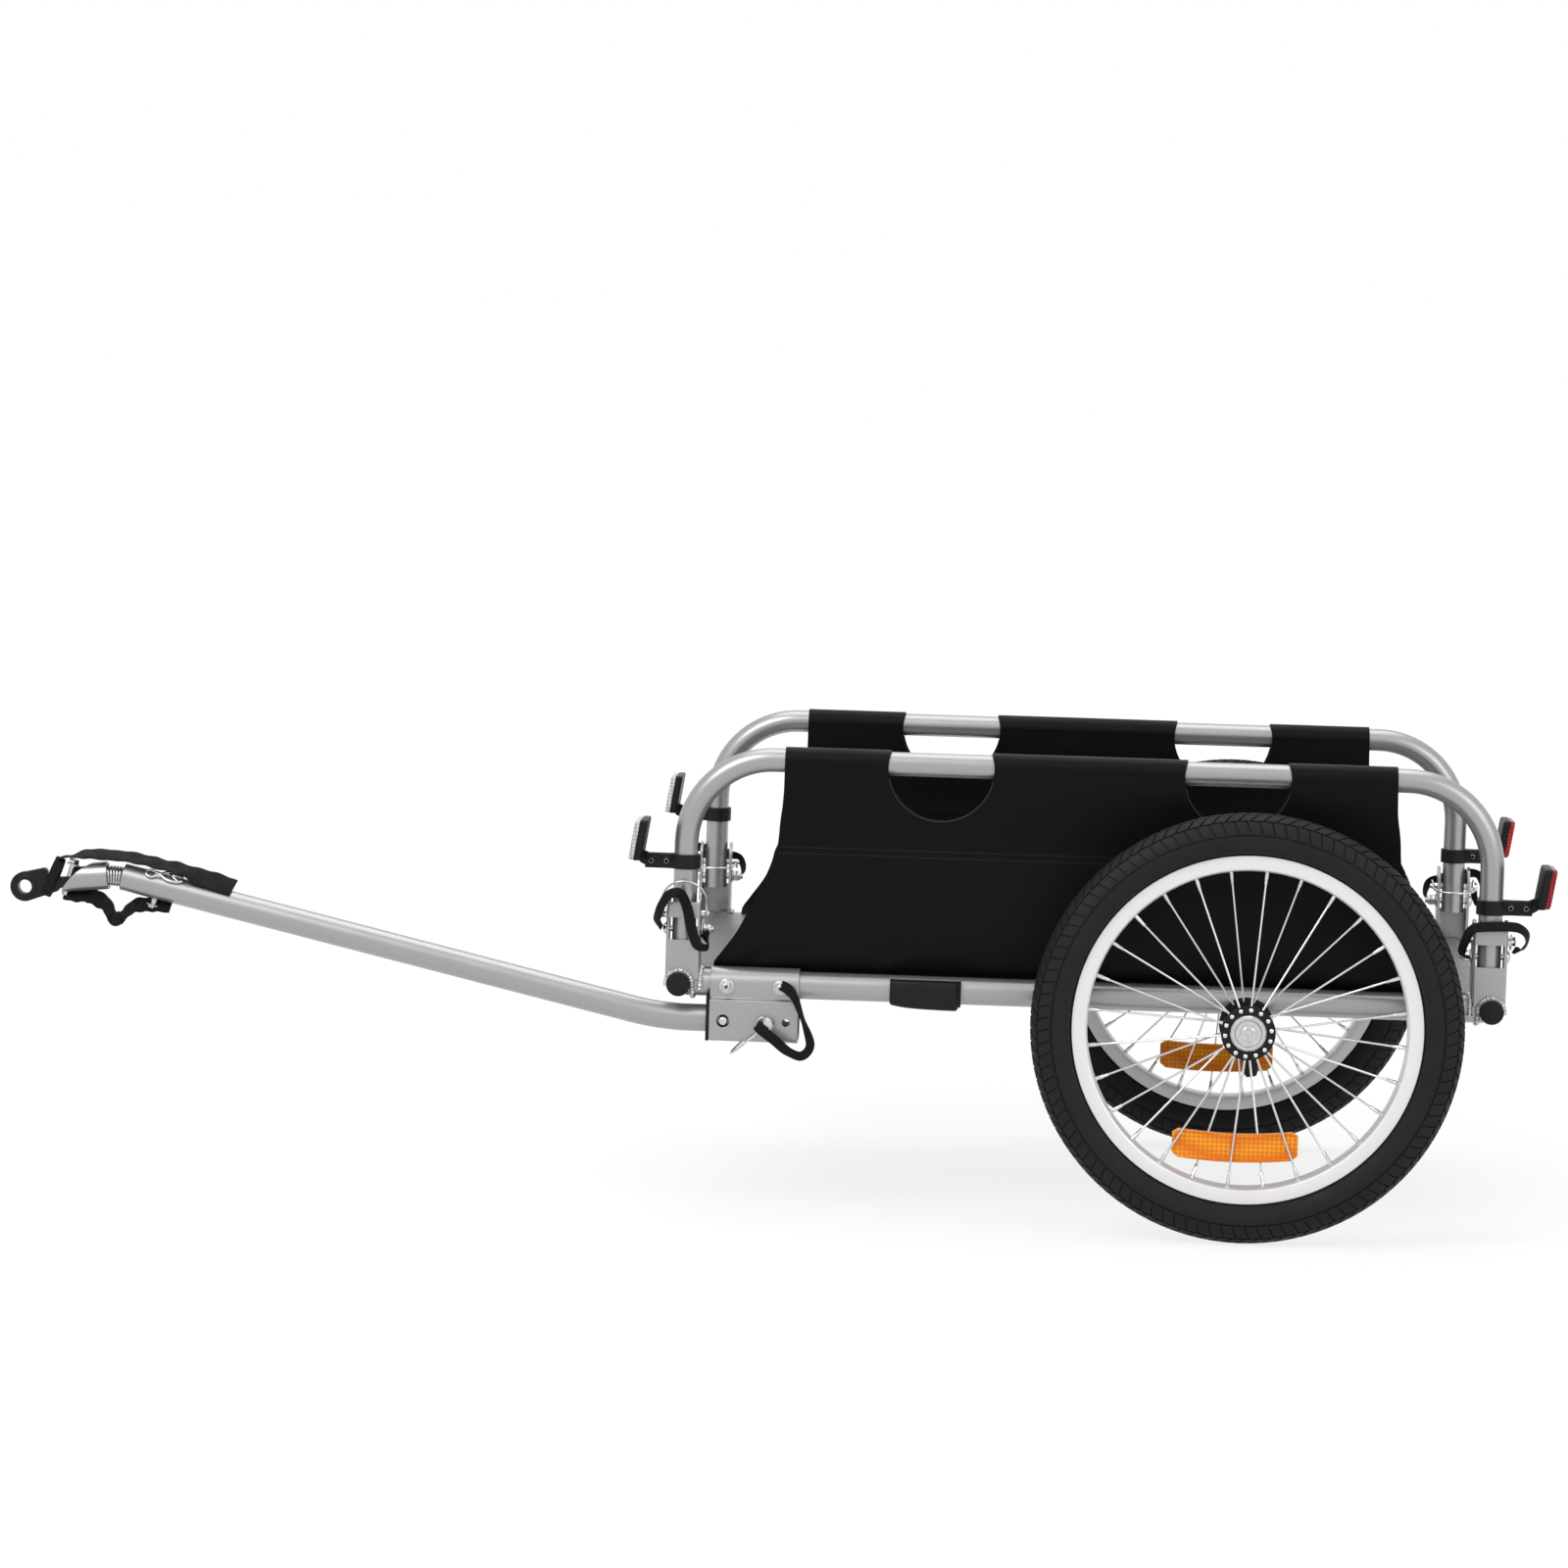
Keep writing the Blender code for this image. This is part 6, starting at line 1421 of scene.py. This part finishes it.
def makeHitchArm():
    drop, half = coupler["eyeDrop"], coupler["armHalf"]
    eye = (hitchPivot.x - (trailer["axleX"] - coupler["eyeReach"]) + drop * math.sin(droop)) / math.cos(droop)
    outline = arc(eye, -drop, coupler["eyeRadius"], -100, 96, 44)
    outline += smoothOutline(coupler["upper"], 4) + list(coupler["lower"])
    arm = finishPiece("hitchArm", built(addPlate, outline, hitchPlace, -half, half), "casting")
    cutWith(arm, built(addTurned, coupler["collar"], hitchPlace(eye, -drop, 0), acrossY, 48), "UNION")
    cutWith(arm, built(addTurned, coupler["shankProfile"], hitchPivot, hitchAxis, 40), "UNION")
    drill(arm, [hitchPlace(eye, -drop, 0)], coupler["bore"], acrossY, 0.02, 48)
    softenEdges(arm, coupler["armSoft"], 3, 30)
    dress(arm, "casting", "hitch", "hitch_arm")


def makeHitchPin():
    top = hitchPin["top"]
    axis = hitchPin["tip"] - top
    point, nut = ([(axis.length + a, r) for a, r in hitchPin[k]] for k in ("point", "nut"))
    bm = built(addTurned, [*hitchPin["shank"], *point], top, axis, 24)
    addHex(bm, top, axis.normalized(), hitchPin["across"], *hitchPin["head"])
    addTurned(bm, hitchPin["washer"], top, axis, 28)
    addTurned(bm, nut, top, axis, 6)
    makePiece("hitchPin", bm, "zinc", "hitch")


# Safety strap: webbing sewn round the hitch arm, one tail over the coil and one hanging below it. The tails run
# through (ahead of the hitch pivot, above it, lean in degrees), and their Back parts behind the tow bar's end
strap = {
    "thick": 0.0018, "columns": 14, "crumple": 0.0007, "narrow": 0.45, "narrowOver": 0.013,
    "top": ((0.052, 0.0192, -3), (0.044, 0.0199, -2), (0.035, 0.0205, 4), (0.027, 0.0212, 14), (0.012, 0.02,
        16)),
    "topBack": ((-0.002, 0.019, 16), (0.012, 0.0198, 16), (0.025, 0.0205, 16), (0.04, 0.0202, 17), (0.056,
        0.0202, 20), (0.068, 0.0182, 31), (0.086, 0.0168, 34), (0.099, 0.016, 34), (0.103, 0.0155, 33)),
    "low": ((0.051, -0.016, 34), (0.044, -0.0165, 34), (0.033, -0.017, 36), (0.024, -0.0185, 38), (0.012,
        -0.027, 38)),
    "lowBack": ((-0.001, -0.039, 36), (0.006, -0.0385, 36), (0.016, -0.025, 36), (0.032, -0.0185, 34), (0.05,
        -0.016, 30)),
    "tails": (("strapTop", "top", 0.025, 1.0), ("strapLow", "low", 0.02, 1.7)),
    "loop": {"width": 0.009, "columns": 8, "crumple": 0.0003, "seed": 1.2, "steps": 40, "ahead": 0.059, "above":
        0.002, "reach": (-0.0085, 0.0166, 0.008), "facing": (0.87, 0.49)},
    "bolt": ((0.0, 0.0028), (0.012, 0.0028), (0.0128, 0.0022)), "washer": ((0.0052, 0.0068), (0.0062, 0.0068)),
    "nut": (0.0063, 0.0108), "across": 0.0096, "boltBack": 0.0335}


def makeStrapTail(name, way, width, seed):
    front, back = strap[way], strap[way + "Back"]
    route = [hitchPlace(s, w, 0) for s, w, lean in front] + [onTow(s, w, 0) for s, w, lean in back]
    points = smoothPath(route, 10)
    leans = smoothPath([Vector((math.radians(lean), 0, 0)) for s, w, lean in front + back], 10)
    facing = [Vector((0, math.cos(lean.x), math.sin(lean.x))) for lean in leans]
    cut = min(range(len(points)), key=lambda i: abs((points[i] - hitchPivot).dot(hitchAxis)))
    for half, part in (("front", slice(cut + 1)), ("rear", slice(cut, None))):
        # the front end narrows where it enters the loop round the arm
        taper = [1 - strap["narrow"] * (1 - min((point - points[0]).length / strap["narrowOver"], 1))
                 for point in points[part]]
        tail = strapPiece(f"{name}.{half}", points[part], facing[part], width, strap["thick"], strap["columns"],
                          strap["crumple"], seed, taper)
        couplerBridge(tail, half, "webbing", "safety_strap")


def makeStrap():
    for tail in strap["tails"]:
        makeStrapTail(*tail)
    loop = strap["loop"]
    (a, b, c), (ahead, up) = loop["reach"], loop["facing"]
    points = [hitchPlace(loop["ahead"] + a * math.sin(t), loop["above"] + b * math.sin(t), c * math.cos(t))
              for t in spin(loop["steps"], loop["steps"] + 1)]
    facing = [hitchAxis * ahead + hitchUp * up] * len(points)
    made = strapPiece("strapLoop", points, facing, loop["width"], strap["thick"], loop["columns"],
                      loop["crumple"], loop["seed"])
    dress(made, "webbing", "hitch", "safety_strap")
    # the bolt and lock nut that hold the lower tail under the tow bar
    foot = onTow(strap["boltBack"], -towBar["radius"] - 0.0002, 0)
    bm = built(addTurned, strap["bolt"], foot, -towUp, 20)
    addTurned(bm, strap["washer"], foot, -towUp, 28)
    addHex(bm, foot, -towUp, strap["across"], *strap["nut"])
    makePiece("strapBolt", bm, "zinc", "tow_bar")


# A snap hook on the tube's upper flank: a bent wire body, a sprung gate and a swivel eye on a barrel. Its spots
# are (behind the tow bar's end, up the flank), and body and eye add their half length and half height
snapHook = {
    "flank": (0.0108, -0.0098, 0.7), "body": (0.046, 0.002, 0.01, 0.005), "turned": 0.4, "wire": 0.0014,
    "gate": ((0.05, 0.0052), (0.042, 0.006)), "gateWire": 0.0011, "barrelAt": (0.033, 0.001),
    "eye": (0.0258, 0.0002, 0.0046, 0.004), "eyeWire": 0.0012,
    "barrel": ((-0.0034, 0.0019), (-0.0028, 0.003), (0.0014, 0.003), (0.002, 0.0024), (0.0034, 0.0022))}


def makeStrapHook():
    high, out, slope = snapHook["flank"]

    def place(back, up):
        return onTow(back, high + slope * up, out + slope * up)

    def oval(label, turns):
        back, up, long, tall = snapHook[label]
        return [place(back + long * math.cos(t), up + tall * math.sin(t)) for t in turns]

    body = oval("body", [t + snapHook["turned"] for t in spin(40, 36)])
    bm = built(addRod, body, snapHook["wire"], 12)
    addRod(bm, [body[0], *(place(*spot) for spot in snapHook["gate"]), body[-4]], snapHook["gateWire"], 12)
    addTurned(bm, snapHook["barrel"], place(*snapHook["barrelAt"]), -towAxis, 28)
    eye = oval("eye", spin(32))
    rings = [circle(p, u, v, snapHook["eyeWire"], 10) for p, u, v in pathFrames(eye + eye[:1], acrossY)]
    loft(bm, rings[:-1], closed=True)
    makePiece("snapHook", bm, "zinc", "tow_bar", "strap_hook", angle=60)


makeSpring()
makeSleeve()
makeHitchArm()
makeHitchPin()
makeStrap()
makeStrapHook()
print("coupler made")

# Rail block, axle ends and quick-release levers. The block's rows are (share of its length, bulge, underside),
# its flank and foot are (offset from the bulge, height, in the foot above the underside). The lever's rows are
# (distance from its pivot, half width, offset outboard, half thickness)
block = {
    "front": -0.33, "rear": -0.264, "soft": 0.0004, "waist": 0.2, "inner": -0.006,
    "flank": ((-0.004, 0.0106), (-0.0025, 0.01), (-0.0008, 0.009), (0.0, 0.0072)),
    "foot": ((0.0, 0.0045), (-0.0008, 0.002), (-0.0028, 0.0004), (-0.005, 0.0)),
    "rows": ((0.0, 0.015, -0.0128), (0.015, 0.016, -0.0136), (0.04, 0.0168, -0.0142), (0.14, 0.018, -0.0152),
        (0.25, 0.019, -0.016), (0.4, 0.0196, -0.0165), (0.55, 0.02, -0.0168), (0.75, 0.0201, -0.0171), (0.93,
        0.02, -0.0172), (0.945, 0.019, -0.0166), (0.955, 0.018, -0.016), (0.97, 0.0164, -0.0145), (1.0, 0.016,
        -0.014))}
axle = {
    "inner": ((-0.029, 0.008), (-0.0286, 0.0085)), "collar": ((-0.0004, 0.0085), (0.0, 0.0081), (0.0, 0.005)),
    "end": ((0.0, 0.005), (0.0, 0.0069), (0.0003, 0.0072), (0.0017, 0.0072), (0.0025, 0.0064), (0.0028, 0.0058),
        (0.0028, 0.003), (0.0014, 0.0026), (0.0014, 0.0004))}
lever = {
    "y": 0.1955, "swing": 9.0, "around": 24, "round": 0.8, "soft": 0.0005,
    "cam": ((-0.0075, 0.0044), (-0.0071, 0.0048), (0.0071, 0.0048), (0.0075, 0.0044)),
    "rows": ((0.0, 0.0045, 0.0, 0.0035), (0.008, 0.0043, -0.0008, 0.003), (0.016, 0.0042, -0.0015, 0.0026),
        (0.024, 0.0051, -0.0024, 0.0024), (0.032, 0.0062, -0.003, 0.0022), (0.04, 0.0069, -0.0027, 0.0021),
        (0.046, 0.0072, -0.002, 0.002), (0.051, 0.007, -0.0008, 0.0019), (0.054, 0.0066, 0.0, 0.0018), (0.0565,
        0.0055, 0.0008, 0.0016), (0.058, 0.0042, 0.0012, 0.0012))}


def makeRailBlock():
    rings = []
    for t, bulge, low in block["rows"]:
        x = block["front"] + (block["rear"] - block["front"]) * t
        section = [(bulge + a, b) for a, b in block["flank"]] + [(bulge, low * block["waist"])]
        section += [(bulge + a, low + b) for a, b in block["foot"]] + [(block["inner"], low)]
        section += arc(0, 0, bedFrame["railRadius"] + gap, 244, 410, 24)
        rings.append([at(x, -sideY - a, railZ + b) for a, b in section])
    made = makePiece("railBlock", built(loft, rings), "plastic", "frame", "rail_block_left")
    softenEdges(made, block["soft"])


def makeAxle(side):
    inner, face = sideY - bedFrame["sleeveInboard"] - gap, trailer["wheelY"] + hub["outerEnd"] + gap
    profile = [(start + a, r) for start, rows in ((sideY, "inner"), (inner, "collar"), (face, "end"))
               for a, r in axle[rows]]
    bm = built(addTurned, profile, at(0, 0, wheelRadius), acrossY * sides[side], 48)
    makePiece(f"axle.{side}", bm, "zinc", "frame", f"wheel_axle_{side}")


def makeLever(side):
    pivot, node, rings = at(0, sides[side] * lever["y"], wheelRadius), f"axle_lever_{side}", []
    swing = math.radians(lever["swing"])
    along = Vector((math.sin(swing), 0, -math.cos(swing)))
    across = Vector((math.cos(swing), 0, math.sin(swing)))
    for s, half, offset, thick in lever["rows"]:
        middle = pivot + along * s + acrossY * (sides[side] * offset)
        # a rounded rectangle
        turns = [[math.copysign(abs(a) ** lever["round"], a) for a in (math.cos(t), math.sin(t))]
                 for t in spin(lever["around"])]
        rings.append([middle + across * (half * a) + acrossY * (thick * b) for a, b in turns])
    softenEdges(makePiece(f"leverPaddle.{side}", built(loft, rings), "plastic", node, node), lever["soft"])
    makePiece(f"leverCam.{side}", built(addTurned, lever["cam"], pivot, alongX, 32), "plastic", node, node)


makeRailBlock()
for side in sides:
    makeAxle(side)
    makeLever(side)
print("rail block, axles and levers made")

# The CAD's bed sheet and liner keep their shape, and get a finer finish and softer edges
fromCad = {"looks": {"bed_panel": "sheet", "receiver_liner": "plastic"}, "weld": 1e-6, "soft": 0.0004}
for name, look in fromCad["looks"].items():
    node = nodes[name]
    node.data.materials.clear()
    node.data.materials.append(looks[look])
    smoothShade(node.data)
    node.modifiers.new("weld", "WELD").merge_threshold = fromCad["weld"]
    softenEdges(node, fromCad["soft"])
